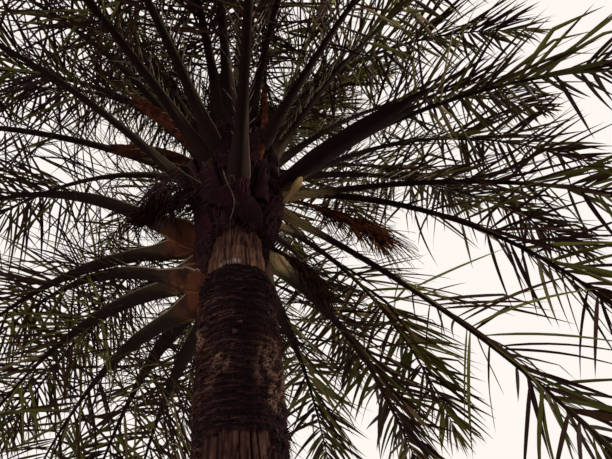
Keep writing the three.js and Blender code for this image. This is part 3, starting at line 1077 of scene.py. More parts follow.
def sheath_finish(settings):
    sheath = Finish("sheath_fibre")
    broad = sheath.grain((6, 6, 6))
    fine = sheath.grain((90, 90, 40))
    lines, threads, tone, crease = sheath.attributes("fibres", "fine", "tone", "crease")
    brown = broad.between(0.45, 0.75) * 0.3 + tone * 0.25 + lines.between(0.55, 0.9) * 0.5
    colour = sheath.mix(settings.sheath_colour, settings.sheath_brown_colour, brown)
    colour = sheath.mix(
        colour, settings.thread_colour, threads.between(0.66, 0.92) * fine.between(0.4, 0.7) * 0.3
    )
    colour = sheath.mix(colour, settings.sheath_shade_colour, crease * 0.8)
    return sheath.done(colour, 0.7 + 0.2 * fine, fine + threads + lines, 0.007, specular=0.1)


def loose_reach(angle, height):
    """The sleeve's radius where nothing makes it tight, and how far up the sleeve that is."""
    foot = sleeve_foot(angle)
    rise = (height - foot) / (SLEEVE_TOP - foot)
    return np.interp(rise, SLEEVE_RISES, SLEEVE_RADII), rise


def sleeve_reach(angle, height):
    reach, rise = loose_reach(angle, height)
    return float(reach * sleeve_fit(angle, rise))


# A dead base: points across and up it, wall, ridge, outward lean, and width from foot to top
PLATE_SPOTS = 11
PLATE_STEPS = 16
PLATE_WALL = 0.011
PLATE_RIDGE = 0.03
PLATE_LEAN = 0.05
PLATE_OUTLINE = ((0, 0.4, 1), (1.0, 0.75, 0.42))

# The azimuth of the stalk in front, and the degrees beside it that have no dead base
FRONT_STALK = 275
FRONT_GAP = 22

# Dead bases round the sleeve and in the crown's heart: lowest foot, how much higher the last
# one stands, and least and greatest length and half width
DEAD_FOOT = 3.62
DEAD_RISE = 0.8
DEAD_SIZES = ((0.26, 0.46), (0.07, 0.1))
HEART_FOOT = 4.35
HEART_RISE = 0.5
HEART_SIZES = ((0.5, 0.75), (0.06, 0.085))
HEART_HEIGHTS = (4.3, 4.7, 5.1, 5.7)
HEART_RADII = (0.2, 0.17, 0.14, 0.1)


def heart_reach(angle, height):
    """The radius of the fibrous core that goes on up between the inner stalks."""
    return float(np.interp(height, HEART_HEIGHTS, HEART_RADII))


def plate_points(azimuth, foot, length, width, seed, surface=sleeve_reach):
    """A dead leaf base: a thick strap that hugs a surface and narrows to a ragged top."""
    steps, spots = grid(np.linspace(0, 1, PLATE_STEPS), np.linspace(-1, 1, PLATE_SPOTS))
    torn = noise_at(87, spots * 3.5, seed, steps * 2) - 0.5
    height = foot + length * (steps + 0.45 * torn * smoothstep(0.5, 1.0, steps))
    half = width * np.interp(steps, *PLATE_OUTLINE)
    reach = np.vectorize(surface)(azimuth, height)
    turn = azimuth + spots * half / np.maximum(reach, 0.12)
    ridge = PLATE_RIDGE * (1 - spots**2)
    ridge = ridge + 0.006 * (noise_at(88, spots * 9, steps * 4, seed) - 0.5)
    away = reach - 0.006 + ridge + PLATE_LEAN * steps**2
    return wall_points(turn, away, height, PLATE_WALL), both(spots), both(steps)


def add_plate(heap, plate, tone):
    points, spots, steps = plate
    heap.add(
        points,
        wall_faces(PLATE_STEPS, PLATE_SPOTS),
        fibres=0.5 + 0.3 * spots,
        fine=steps,
        tone=tone,
        crease=smoothstep(0.75, 1.0, np.abs(spots)),
    )


def build_dead_bases(settings):
    """Broad dead bases that stand upright between the stalks."""
    draws = draws_for("dead_bases")
    heap = Heap()
    for index in range(settings.dead_base_count):
        share = index / (settings.dead_base_count - 1)
        azimuth = (index * GOLDEN_TURN + 40) % 360
        foot = DEAD_FOOT + DEAD_RISE * share + draws.uniform(-0.05, 0.05)
        length, width = (draws.uniform(*limits) for limits in DEAD_SIZES)
        if near_azimuth(azimuth, FRONT_STALK) < FRONT_GAP:
            continue
        plate = plate_points(math.radians(azimuth), foot, length, width, index + 0.5)
        add_plate(heap, plate, float(draws.random()))
    for index in range(settings.heart_base_count):
        turn = math.radians(index * GOLDEN_TURN) % (2 * math.pi)
        foot = HEART_FOOT + HEART_RISE * index / (settings.heart_base_count - 1)
        length, width = (draws.uniform(*limits) for limits in HEART_SIZES)
        plate = plate_points(turn, foot, length, width, index + 50.5, heart_reach)
        add_plate(heap, plate, 0.6 * float(draws.random()))
    piece = heap.piece("sheath_dead_bases", [bpy.data.materials["sheath_fibre"]])
    settle(piece, "sheath", "leaf_sheaths")


# The broad smooth sheet that slants down in front: azimuth, and heights of its edges
SHEET_TURNS = (222, 240, 258, 276, 294, 312, 326)
SHEET_TOPS = (3.78, 3.77, 3.74, 3.7, 3.66, 3.6, 3.52)
SHEET_FOOTS = (3.7, 3.62, 3.55, 3.5, 3.46, 3.43, 3.42)
SHEET_STEPS = 60
SHEET_ROWS = 18
SHEET_WALL = 0.012
SHEET_TIGHTNESS = 0.94
SHEET_STAND = 0.026


def build_front_sheet():
    """A broad dead sheath that slants across the sleeve's front, with a sharp lower edge."""
    turns = np.linspace(SHEET_TURNS[0], SHEET_TURNS[-1], SHEET_STEPS)
    row, turn = grid(np.linspace(0, 1, SHEET_ROWS), turns)
    torn = noise_at(89, turn / 6, 0, 3.5) - 0.5
    top = np.interp(turn, SHEET_TURNS, SHEET_TOPS)
    foot = np.interp(turn, SHEET_TURNS, SHEET_FOOTS) + 0.02 * torn
    height = foot + (top - foot) * row
    ends = smoothstep(0, 0.12, (turn - turns[0]) / (turns[-1] - turns[0]))
    ends = ends * smoothstep(0, 0.12, (turns[-1] - turn) / (turns[-1] - turns[0]))
    folds = noise_at(90, turn / 14, row * 2.5, 7.5) - 0.5
    folds = folds + 0.5 * (noise_at(92, turn / 3, row * 9, 1.5) - 0.5)
    bulge = ends * np.sin(math.pi * np.clip(row * 0.6 + 0.4, 0, 1))
    angle = np.radians(turn)
    reach = SHEET_TIGHTNESS * loose_reach(angle, height)[0] + 0.006 + SHEET_STAND * (bulge + folds)
    heap = Heap()
    heap.add(
        wall_points(angle, reach, height, SHEET_WALL),
        [face[::-1] for face in wall_faces(SHEET_ROWS, SHEET_STEPS)],
        fibres=both(0.55 + 0.25 * folds),
        fine=0.4,
        tone=0.35,
        crease=both(smoothstep(0.12, 0.0, row)),
    )
    piece = heap.piece("sheath_front_sheet", [bpy.data.materials["sheath_fibre"]])
    settle(piece, "sheath", "leaf_sheaths")


def thread_line(azimuths, heights, clear):
    """A line of points just off the sleeve, at the given azimuths and heights."""
    turns, heights = np.radians(azimuths), np.array(heights)
    points = round_points(turns, loose_reach(turns, heights)[0] + clear, heights)
    fine = np.linspace(0, len(points) - 1, 4 * len(points))
    stops = np.arange(len(points))
    return np.stack([np.interp(fine, stops, axis) for axis in points.T], axis=-1)


# The long pale thread that hangs in front: azimuths and heights from its root to its tip
LONG_THREAD_AZIMUTHS = (258, 261, 267, 270, 267, 261, 257)
LONG_THREAD_HEIGHTS = (3.84, 3.74, 3.64, 3.58, 3.53, 3.5, 3.48)

# The dark clump of old fibre at the left: its azimuth, height and reach from the sleeve
CLUMP_AZIMUTH = 192
CLUMP_HEIGHT = 3.93
CLUMP_REACH = 0.3
CLUMP_START = 0.24


def build_sheath_threads(settings):
    draws = draws_for("threads")
    strands = Strands()
    for _ in range(settings.thread_count):
        turn = draws.uniform(0, 2 * math.pi)
        foot = sleeve_foot(turn)
        low = draws.random() < 0.5
        height = foot + (draws.uniform(0.02, 0.09) if low else draws.uniform(0.1, 1.4))
        outward, tangent = level_axes(turn)
        point = axis_point(height) + outward * (sleeve_reach(turn, height) + 0.01)
        heading = unit(outward * draws.uniform(0.2, 0.8) + tangent * draws.normal(0, 0.7))
        length = draws.uniform(0.05, 0.13) if low else draws.uniform(0.06, 0.26)
        line = falling_line(point, heading, length, 7, draws.uniform(1.0, 2.6))
        strands.add(line, THREAD_TAPER)
    for _ in range(settings.clump_count):
        share = draws.random()
        turn = math.radians(draws.normal(CLUMP_AZIMUTH, 9))
        outward = level_axes(turn)[0]
        height = CLUMP_HEIGHT + draws.normal(0, 0.05) - 0.1 * share
        point = axis_point(height) + outward * (CLUMP_START + CLUMP_REACH * share)
        heading = unit(outward * draws.uniform(0.2, 1.0) + draws.normal(0, 0.5, 3))
        line = falling_line(point, heading, draws.uniform(0.08, 0.22), 7, draws.uniform(1.5, 3))
        strands.add(line, CLUMP_TAPER)
    dark = thread_finish("sheath_thread", settings, 0.25)
    settle(strands.grow("sheath_threads", dark, wobble=0.05), "sheath", "leaf_sheaths")
    strands = Strands()
    line = thread_line(LONG_THREAD_AZIMUTHS, LONG_THREAD_HEIGHTS, 0.045)
    strands.add(line, LONG_THREAD_TAPER)
    pale = thread_finish("sheath_long_thread", settings, 0.9)
    settle(strands.grow("sheath_long_thread", pale, wobble=0.004), "sheath", "leaf_sheaths")


def thread_finish(name, settings, paleness):
    thread = Finish(name)
    mottle = thread.grain((25, 25, 25))
    lightest = thread.mix(settings.sheath_brown_colour, settings.thread_colour, paleness)
    colour = thread.mix(settings.sheath_brown_colour, lightest, mottle.between(0.36, 0.6))
    return thread.done(colour, 0.75, specular=0.25)


# Fronds

TIP_LEAFLET = 0.18
RIB_SIDES = 24
RIB_STATIONS = (-0.1, 0.0, 0.15, 0.3, 0.6, 1.0, 1.6, 2.4, 3.2, 3.8)
RIB_HALF_WIDTHS = (0.095, 0.088, 0.071, 0.053, 0.035, 0.028, 0.022, 0.016, 0.009, 0.004)
RIB_DEPTHS = (0.032, 0.036, 0.038, 0.037, 0.031, 0.027, 0.022, 0.016, 0.008, 0.003)
RIB_CROWNS = (0.012, 0.012, 0.013, 0.014, 0.013, 0.011, 0.009, 0.007, 0.004, 0.002)
RIB_BOWS = (0.75, 0.68, 0.42, 0.22, 0.06, 0, 0, 0, 0, 0)
SIDE_POWER = 0.7
LOWEST_STOUTER = 1.15


def rib_length(frond):
    """How far a frond's rib goes. Its last leaflets fill the rest of the frond."""
    return frond.length - TIP_LEAFLET


def rib_value(values, stations, length):
    return np.interp(stations * RIB_STATIONS[-1] / length, RIB_STATIONS, values)


def extra_stoutness(frond):
    """The lowest, oldest fronds have the thickest stalks."""
    return LOWEST_STOUTER * float(smoothstep(3.75, 3.5, frond.base_height))


def rib_points(frond, seed):
    """Rings round a frond's rib.

    With them: distance from the base, nearness to an edge, what lies on the side that the roll
    turns up, which is the lighter one, and how far to that side.
    """
    length = rib_length(frond)
    stations = np.concatenate([np.linspace(-0.1, 0.6, 22)[:-1], np.linspace(0.6, length, 34)])
    path = frond_path(frond, stations)
    half, depth, crown, bow = (
        rib_value(values, stations, length)[:, None]
        for values in (RIB_HALF_WIDTHS, RIB_DEPTHS, RIB_CROWNS, RIB_BOWS)
    )
    stout = smoothstep(2.6, 1.2, stations) * smoothstep(-0.1, 0.35, stations)
    slim = 0.3 * base_tones(frond)["fresh"] * smoothstep(1.3, 0.5, stations)
    stout = (1 + extra_stoutness(frond) * stout - slim)[:, None]
    half, depth, bow = half * stout, depth * stout, bow * stout
    turn = ring_turns(RIB_SIDES)
    wide = np.sign(np.cos(turn)) * np.abs(np.cos(turn)) ** SIDE_POWER
    high = np.sin(turn)
    station, side = grid(stations, np.arange(RIB_SIDES))
    torn = noise_at(101, station * 22, np.sign(wide)[side] * 9.5, seed)
    fray = 1 + 0.6 * (torn - 0.6) * smoothstep(0.3, 0.05, station) * np.abs(wide) ** 3
    sideways = wide * half * fray
    keel = 1 - 0.3 * np.abs(wide) ** 1.5
    upwards = np.where(high > 0, crown * high, depth * high * keel)
    upwards = upwards + bow * np.abs(sideways) ** 1.6 / half**0.6
    points = sections(path, sideways, upwards)
    # Pale edges, stronger on the lit side: partly the stalk's pale margin and partly a painted
    # highlight
    edge = np.where(wide > 0, wide, -0.75 * wide) ** 8 * smoothstep(-0.45, -0.1, high)
    lit_from = 0.8 - 0.35 * smoothstep(0.7, 0.4, station)
    wander = noise_at(102, station * 3, 0, seed) - 0.5
    lit = smoothstep(-0.16, 0.16, wide - lit_from + 0.3 * wander)
    edge, wide = (np.broadcast_to(values, station.shape) for values in (edge, wide))
    return points, {"distance": station, "edge": edge, "lit": lit, "side": wide}


def base_tones(frond):
    """How orange a stalk's base is, how fresh and green, and how shaded, from 0 to 1."""
    warm = smoothstep(3.75, 3.5, frond.base_height) * smoothstep(70, 105, frond.azimuth)
    fresh = smoothstep(0.2, 0.8, math.cos(math.radians(frond.azimuth)))
    shaded = smoothstep(60, 20, near_azimuth(frond.azimuth, TRUNK_FRONT))
    return {
        "warm": float(warm),
        "fresh": float(fresh * smoothstep(4.1, 3.9, frond.base_height)),
        "shaded": float(np.maximum(0.7 * warm, 0.5 * shaded)),
    }


def rib_finish(settings):
    rib = Finish("frond_rib")
    lengthwise = rib.grain((30, 30, 30), detail=4.0)
    specks = rib.grain((140, 140, 140))
    broad = rib.grain((5, 5, 5))
    distance, edge, side, tone = rib.attributes("distance", "edge", "side", "tone")
    warm, fresh, lit, shaded = rib.attributes("warm", "fresh", "lit", "shaded")
    places = rib.node("ShaderNodeCombineXYZ", {}, {0: distance * 4, 1: side * 5, 2: tone * 90})
    streaks = rib.noise(places, 4.0, 0.7)
    lit = lit * (0.35 + streaks.between(0.4, 0.6) * 0.65) * (1.0 - shaded)
    stalk = rib.mix(settings.petiole_colour, settings.rib_colour, distance.between(0.5, 2.0))
    lighter = fresh * 0.5 * streaks.between(0.4, 0.6) * distance.between(0.65, 0.35)
    lighter = lighter + lit * distance.between(2.2, 0.6)
    stalk = rib.mix(stalk, settings.petiole_light_colour, lighter)
    upper = side.between(-0.3, 0.6) * 0.95
    outer = (distance + streaks * 0.4).between(0.4, 0.55)
    rust = rib.mix(settings.base_colour, settings.tan_colour, outer)
    rust = rib.mix(rust, settings.base_dark_colour, upper + streaks.between(0.42, 0.54) * 0.7)
    rust = rib.mix(rust, settings.base_shade_colour, broad.between(0.48, 0.6) * 0.9)
    green = rib.mix(settings.fresh_colour, settings.base_dark_colour, streaks.between(0.5, 0.64))
    base = rib.mix(settings.base_shade_colour, green, fresh * 0.95)
    base = rib.mix(base, rust, warm)
    ragged = distance + streaks * 0.5 + lengthwise * 0.2 - 0.35
    colour = rib.mix(stalk, base, ragged.between(0.5, 0.3))
    # Pale edges of the stalk: partly its own pale margin and partly a painted highlight
    pale = edge.between(0.5, 0.75) * (distance + lengthwise * 0.3 - 0.15).between(1.9, 0.6)
    colour = rib.mix(colour, settings.edge_colour, pale * (0.6 + tone * 0.4))
    colour = rib.mix(colour, settings.base_dark_colour, specks.between(0.6, 0.76) * 0.6)
    relief = lengthwise + specks * 0.5
    return rib.done(colour, 0.65 + 0.25 * specks, relief, 0.002, specular=0.06)


# The short stalk that was cut off at the right: azimuth, height, reach, rise and length
CUT_STALK = (340, 3.75, 0.33, 55, 0.25)
CUT_OUTLINE = ((0, 0.4, 0.65, 0.92, 1), (0.016, 0.022, 0.04, 0.034, 0.014))
CUT_TONES = {
    "distance": 0.1, "edge": 0, "lit": 1, "tone": 0.4, "warm": 0.25, "fresh": 0.7, "shaded": 0.4
}
CUT_STATIONS = 9
CUT_SIDES = 12


def build_cut_stalk(material):
    """A pale stub of a stalk that was cut off short."""
    azimuth, height, reach, rise, length = CUT_STALK
    stations = np.linspace(0, length, CUT_STATIONS)
    path = arch(azimuth, height, rise, 0, length, stations)
    outward = level_axes(math.radians(azimuth))[0]
    path = path._replace(point=path.point + outward * (reach - FROND_START))
    turn = ring_turns(CUT_SIDES)
    half = np.interp(stations / length, *CUT_OUTLINE)[:, None]
    points = sections(path, np.cos(turn) * half, np.sin(turn) * half * 0.4)
    side = np.broadcast_to(np.cos(turn), points.shape[:2])
    heap = Heap()
    heap.add(points, ring_faces(*points.shape[:2]), side=side, **CUT_TONES)
    settle(heap.piece("cut_stalk", [material]), "frond", "middle_frond_5")


def build_ribs(settings):
    material = rib_finish(settings)
    build_cut_stalk(material)
    for tier, fronds in tier_fronds().items():
        heap = Heap()
        for index, frond in enumerate(fronds):
            check_frond(frond)
            points, marks = rib_points(frond, index + 3.5)
            marks["tone"] = float(chance([[index, len(fronds)]], 103)[0])
            heap.add(points, ring_faces(len(points), RIB_SIDES), **marks, **base_tones(frond))
        settle(heap.piece(f"{tier}_ribs", [material]), "frond", *nodes_of(fronds))


# Where a stalk's spines start, how far they go past its end, and how few a short stalk bears
FIRST_SPINE = 0.35
SPINES_PAST_STALK = 0.12
SHORT_STALK = 0.8
SHORT_STALK_SPINES = 5


def build_spines(settings):
    """Long spines on both edges of each frond's stalk, below the first leaflets."""
    draws = draws_for("spines")
    places = {"point": [], "aim": [], "reach": [], "thickness": []}
    for frond in all_fronds():
        stalk = blade_start(frond, settings)
        per_side = settings.spine_count if stalk > SHORT_STALK else SHORT_STALK_SPINES
        stations = np.tile(np.linspace(FIRST_SPINE, stalk + SPINES_PAST_STALK, per_side), 2)
        stations = stations + draws.normal(0, 0.012, 2 * per_side)
        side = np.repeat([1.0, -1.0], per_side)[:, None]
        path = frond_path(frond, stations)
        half = rib_value(RIB_HALF_WIDTHS, stations, 3.8)[:, None]
        lean = draws.uniform(0.9, 2.6, (2 * per_side, 1))
        lift = draws.uniform(-0.2, 0.9, (2 * per_side, 1))
        places["point"].append(path.point + path.across * side * half * 0.85)
        places["aim"].append(unit(path.across * side + path.along * lean + path.above * lift))
        growth = smoothstep(0.3, 0.9, stations)
        reach = settings.spine_length * (0.25 + 0.75 * growth)
        places["reach"].append(reach * draws.uniform(0.6, 1.15, 2 * per_side))
        places["thickness"].append(0.0026 + 0.002 * growth)
    points = np.concatenate(places.pop("point"))
    attributes = {key: np.concatenate(values) for key, values in places.items()}
    carrier = make_piece("frond_spines", points, [], [], attributes=attributes)
    spine = Finish("spine")
    mottle = spine.grain((30, 30, 30))
    colour = spine.mix(settings.petiole_colour, settings.edge_colour, mottle.between(0.4, 0.56))
    piece = grow(carrier, spike_tree(spine.done(colour, 0.5)), sides=5)
    settle(piece, "frond", *nodes_of(all_fronds()))


# The leaflets' outline, and their opening angle, size and width from a blade's foot to its tip
LEAFLET_STEPS = 8
LEAFLET_OUTLINE = ((0, 0.05, 0.25, 0.55, 0.82, 1), (0.4, 0.8, 1, 0.82, 0.4, 0))
LEAFLET_OPENINGS = ((0, 0.25, 0.7, 0.93, 1), (64, 54, 45, 32, 10))
LEAFLET_SIZES = ((0, 0.05, 0.2, 0.55, 0.85, 1), (0.5, 0.85, 1, 0.97, 0.68, 0.3))
LEAFLET_WIDTHS = ((0, 0.15, 0.5, 1), (0.42, 0.6, 1, 0.75))

# How far the three ranks of leaflets are lifted, in degrees
LEAFLET_RANKS = (44, 8, -30)

# Fronds that start below this height are old, and these azimuths have their own looks; leaflets towards
# the brightest side take more light colours, as painted light, and hanging fronds fewer, as painted
# shade
LOW_BASE = 4.1
OPEN_SIDE = 160
BROAD_SIDE = 42
BRIGHTEST_SIDE = 62
HANGING_LIGHT = 0.4

# The leaflets' colours, and the share of each but the last, in the shade and in the light
LEAF_SLOTS = ("shade", "olive", "green", "light", "yellow", "dry")
SHADED_SHARES = (0.62, 0.24, 0.08, 0.04, 0.02)
LIT_SHARES = (0.36, 0.2, 0.21, 0.15, 0.08)


def blade_start(frond, settings):
    """The young steep fronds bear leaflets nearer to their bases than the others."""
    return settings.blade_start * (1 - 0.4 * float(smoothstep(4.2, 4.35, frond.base_height)))


def open_side(frond):
    """Nearness to the side where the crown is thinnest, from 0 to 1."""
    return float(smoothstep(70, 40, near_azimuth(frond.azimuth, OPEN_SIDE)))


def missing_share(frond, settings, order):
    """The share of leaflets that have gone, at each place from a blade's foot to its tip."""
    low = frond.base_height < LOW_BASE
    missing = settings.missing_share + 0.18 * open_side(frond)
    missing = missing + 0.05 * (near_azimuth(frond.azimuth, 0) < 30)
    missing = missing + 0.1 * low * (near_azimuth(frond.azimuth, 20) < 16)
    sparse = 0.3 * low * (near_azimuth(frond.azimuth, 355) < 60)
    return missing + sparse * smoothstep(0.4, 0.1, order)


def leaflet_sizes(frond, settings, order, draws):
    """The length and width of leaflets at each place from a blade's foot to its tip."""
    count = len(order)
    broad_side = float(smoothstep(35, 15, near_azimuth(frond.azimuth, BROAD_SIDE)))
    broad_side *= frond.base_height < LOW_BASE
    size = np.interp(order, *LEAFLET_SIZES)
    size = size * draws.normal(1, 0.1, count) * settings.leaflet_length * (1 + 0.08 * broad_side)
    width = np.interp(order, *LEAFLET_WIDTHS)
    width = width * (1 - 0.3 * open_side(frond) + 0.2 * broad_side)
    return size, width * draws.normal(1, 0.16, count) * settings.leaflet_width


def leaflet_starts(frond, settings, draws):
    """Where each leaflet of a frond leaves its rib, with its direction and upper side."""
    length = rib_length(frond)
    blade = (length - blade_start(frond, settings)) / (FROND_LENGTH - settings.blade_start)
    pairs = round(settings.leaflet_pairs * blade)
    number = np.repeat(np.arange(pairs), 2)
    side = np.tile([1.0, -1.0], pairs)
    bunched = (number // 3 * 3 + 1 - number) * 0.35
    order = np.clip((number + bunched + draws.normal(0, 0.25, 2 * pairs)) / (pairs - 1), 0, 1)
    kept = draws.random(2 * pairs) > missing_share(frond, settings, order)
    order, side, number = order[kept], side[kept], number[kept]
    count = len(order)
    first = blade_start(frond, settings)
    distance = first + (length - first) * order
    path = frond_path(frond, distance)
    half = rib_value(RIB_HALF_WIDTHS, distance, length)[:, None]
    opening = np.interp(order, *LEAFLET_OPENINGS)
    unruly = 10 + 7 * open_side(frond) + 11 * smoothstep(0.3, 0.05, order)
    opening = np.radians(opening + draws.normal(0, 1, count) * unruly)[:, None]
    ranks = np.array(LEAFLET_RANKS)[(number + (side > 0) + draws.integers(0, 2, count)) % 3]
    lift = np.radians(ranks * (1 - 0.5 * order) + draws.normal(0, 12, count))[:, None]
    sideways = path.across * side[:, None]
    spread = sideways * np.cos(lift) + path.above * np.sin(lift)
    direction = path.along * np.cos(opening) + spread * np.sin(opening)
    tilt = np.radians(draws.normal(24, 24, count))[:, None]
    face = path.above * np.cos(tilt) + path.along * np.sin(tilt)
    root = path.point + sideways * half * 0.7
    size, width = leaflet_sizes(frond, settings, order, draws)
    return root, direction, face, path.along, size, width, number


def leaflet_shapes(starts, settings, draws):
    """Points of folded blades: three across at each step, and one at the tip."""
    root, direction, face, along, size, width, _ = starts
    count = len(root)
    weight = draws.uniform(0.06, 0.36, count)
    broken = draws.random(count) < settings.broken_share
    snap = np.where(broken, draws.uniform(0.4, 1.5, count), 0)
    snap_part = draws.uniform(0.3, 0.7, count)
    turn = draws.normal(0, 0.6, count)
    sway = draws.normal(0, 0.1, (count, 3))
    outline = np.interp(np.arange(LEAFLET_STEPS) / LEAFLET_STEPS, *LEAFLET_OUTLINE)
    centre = root.copy()
    rings = []
    for step in range(LEAFLET_STEPS + 1):
        part = step / LEAFLET_STEPS
        heading = direction + along * 0.12 * part + sway * part
        fall = weight * part**1.3 + snap * (part > snap_part)
        heading = unit(heading - UP * fall[:, None])
        if step < LEAFLET_STEPS:
            wide = unit(np.cross(heading, face))
            top = np.cross(wide, heading)
            twist = (turn * part)[:, None]
            turned = wide * np.cos(twist) + top * np.sin(twist)
            top = top * np.cos(twist) - wide * np.sin(twist)
            wide = turned
            half = (width * outline[step] / 2)[:, None]
            fold = 0.75 - 0.35 * part
            rings += [centre + wide * half, centre - top * half * fold, centre - wide * half]
            centre = centre + heading * (size / LEAFLET_STEPS)[:, None]
        else:
            rings.append(centre)
    return np.stack(rings, axis=1)


def leaflet_faces():
    """One leaflet's faces, from the root to the tip, and the step that each is in."""
    faces, steps = [], []
    for step in range(LEAFLET_STEPS - 1):
        low, high = 3 * step, 3 * step + 3
        faces += [[low + 1, low, high, high + 1], [low + 2, low + 1, high + 1, high + 2]]
        steps += [step, step]
    low = 3 * (LEAFLET_STEPS - 1)
    tip = low + 3
    faces += [[low + 1, low, tip], [low + 2, low + 1, tip]]
    return faces, steps + [LEAFLET_STEPS - 1] * 2


def leaflet_slots(frond, number, count, steps, draws):
    """A colour for each face: sprays of neighbours share one, and some tips are dry.

    Fronds towards the brightest side take more of the light colours, as painted light, and
    hanging fronds take fewer, as painted shade.
    """
    # Painted light and shade: the share of light colours follows the frond's azimuth, and a hanging
    # frond keeps less of it
    lit = 0.5 + 0.5 * math.cos(math.radians(frond.azimuth - BRIGHTEST_SIDE))
    lit *= HANGING_LIGHT if frond.rise < 0 else 1
    shares = np.array(SHADED_SHARES) * (1 - lit) + np.array(LIT_SHARES) * lit
    limits = np.cumsum(shares / shares.sum())
    spray = draws.random(200)[number // 6]
    own = draws.random(count)
    pick = np.where(own < 0.45, draws.random(count), spray)
    colour = np.minimum(np.searchsorted(limits, pick), len(shares) - 1)
    dry_from = np.where(draws.random(count) < 0.35, draws.integers(5, 8, count), LEAFLET_STEPS)
    dry_from = np.where(draws.random(count) < 0.03, 0, dry_from)
    slots = np.repeat(colour[:, None], len(steps), axis=1)
    dry = np.array(steps)[None] >= dry_from[:, None]
    return np.where(dry, LEAF_SLOTS.index("dry"), slots)


def build_leaflets(settings):
    materials = [
        plain_finish(f"leaflet_{name}", getattr(settings, f"{name}_colour"), 0.5)
        for name in LEAF_SLOTS
    ]
    one, steps = leaflet_faces()
    for tier, fronds in tier_fronds().items():
        draws = draws_for(tier)
        heap = Heap()
        for frond in fronds:
            starts = leaflet_starts(frond, settings, draws)
            shapes = leaflet_shapes(starts, settings, draws)
            count = len(shapes)
            slots = leaflet_slots(frond, starts[-1], count, steps, draws)
            each = shapes.shape[1]
            starts_at = range(0, count * each, each)
            faces = [[index + start for index in face] for start in starts_at for face in one]
            heap.add(shapes, faces, np.ravel(slots).tolist())
        settle(heap.piece(f"{tier}_leaflets", materials), "frond", *nodes_of(fronds))


SPEAR_SECTION = 14
SPEAR_RINGS = 30
SPEAR_RADIUS = 0.04
SPEAR_OUTLINE = ((0, 0.1, 0.35, 0.7, 0.93, 1), (0.5, 0.8, 1, 0.7, 0.25, 0.05))


def build_spears(settings):
    """The youngest leaves, still folded shut, as slender pleated spears."""
    heap = Heap()
    fractions = np.linspace(0, 1, SPEAR_RINGS)
    outline = np.interp(fractions, *SPEAR_OUTLINE)
    turns = ring_turns(SPEAR_SECTION)
    pleat = 1 + 0.22 * np.cos(np.arange(SPEAR_SECTION) * math.pi)
    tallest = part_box("spear_leaves")[1][2]
    for index in range(settings.spear_count):
        around = index * math.radians(GOLDEN_TURN)
        reach = 0.012 + 0.05 * (index / settings.spear_count)
        height = (SPEAR_HEIGHT - 0.04) * (1 - 0.09 * index)
        climb = np.minimum(SPEAR_FOOT + fractions * height, tallest)
        swing = reach * (0.4 + 2.2 * fractions**1.6 * (index > 0))
        lean = math.tan(math.radians(SPEAR_LEAN)) * (climb - SPEAR_FOOT)
        middle = axis_point(SPEAR_FOOT)[0] + lean
        sideways = math.cos(around) * swing
        centre = np.stack([middle + sideways, math.sin(around) * swing, climb], axis=-1)
        radius = SPEAR_RADIUS * (1 - 0.05 * index) * outline
        ring = np.stack([np.cos(turns) * pleat, np.sin(turns) * pleat, turns * 0], axis=-1)
        flat = np.array([1.0, 0.6, 1.0])
        points = centre[:, None] + ring[None] * flat * radius[:, None, None]
        heap.add(points, ring_faces(len(points), SPEAR_SECTION), tone=index * 0.2)
    spear = Finish("spear_leaf")
    pleats = spear.grain((120, 120, 1.5), detail=2.0)
    height = spear.grain((4, 4, 2))
    colour = spear.mix(settings.light_colour, settings.petiole_light_colour, pleats)
    colour = spear.mix(colour, settings.edge_colour, height.between(0.55, 0.8) * 0.5)
    piece = heap.piece("spear_bundle", [spear.done(colour, 0.5, pleats, 0.003)])
    settle(piece, "frond", "spear_leaves")


# Dry parts


SPATHE_SPOTS = 15
SPATHE_RINGS = 34
SPATHE_SHELL = 0.004
SPECK_COLOUR = (0.02, 0.011, 0.012)
SPATHE_OUTLINE = ((0, 0.1, 0.3, 0.62, 0.88, 1), (0.4, 0.5, 0.85, 1.0, 0.95, 0.8))
SPATHE_WRAP = ((0, 0.2, 0.6, 1), (150, 105, 70, 50))


def dry_path(row, fractions):
    """The arch of a dry part, at the given shares of its length."""
    length = row[4]
    return arch(*row[:5], np.asarray(fractions) * length)


def spathe_points(row, seed):
    """A boat-shaped dry sheath, open above, with a thin wall and an end torn into prongs."""
    length, half_width = row[4:]
    fractions = np.linspace(0, 1, SPATHE_RINGS)
    path = dry_path(row, fractions)
    half = half_width * np.interp(fractions, *SPATHE_OUTLINE)
    wrap = np.radians(np.interp(fractions, *SPATHE_WRAP))
    part, spot = grid(fractions, np.linspace(-1, 1, SPATHE_SPOTS))
    torn = noise_at(121, part * 26, np.sign(spot) * 4.5, seed)
    spot = spot * (1 - 0.5 * smoothstep(0.45, 1.0, part) * torn * np.abs(spot) ** 4)
    cleft = 0.5 + 0.5 * np.cos(spot * 2 * math.pi)
    cleft = 0.6 * cleft + 0.6 * noise_at(123, spot * 5, seed, seed)
    back = 0.22 * length * cleft * smoothstep(0.62, 1.0, part)
    turn = spot * wrap[:, None]
    radius = (half / np.sin(np.minimum(wrap, math.pi / 2)))[:, None]
    waves = 0.008 * (noise_at(122, part * 9, spot * 3, seed) - 0.5)
    sheets = []
    for wall in (0.0, SPATHE_SHELL):
        inside = radius - wall + waves
        sheet = sections(path, np.sin(turn) * inside, radius * 0.4 - np.cos(turn) * inside)
        sheets.append(sheet - path.along[:, None] * back[..., None])
    return np.stack(sheets), part, spot


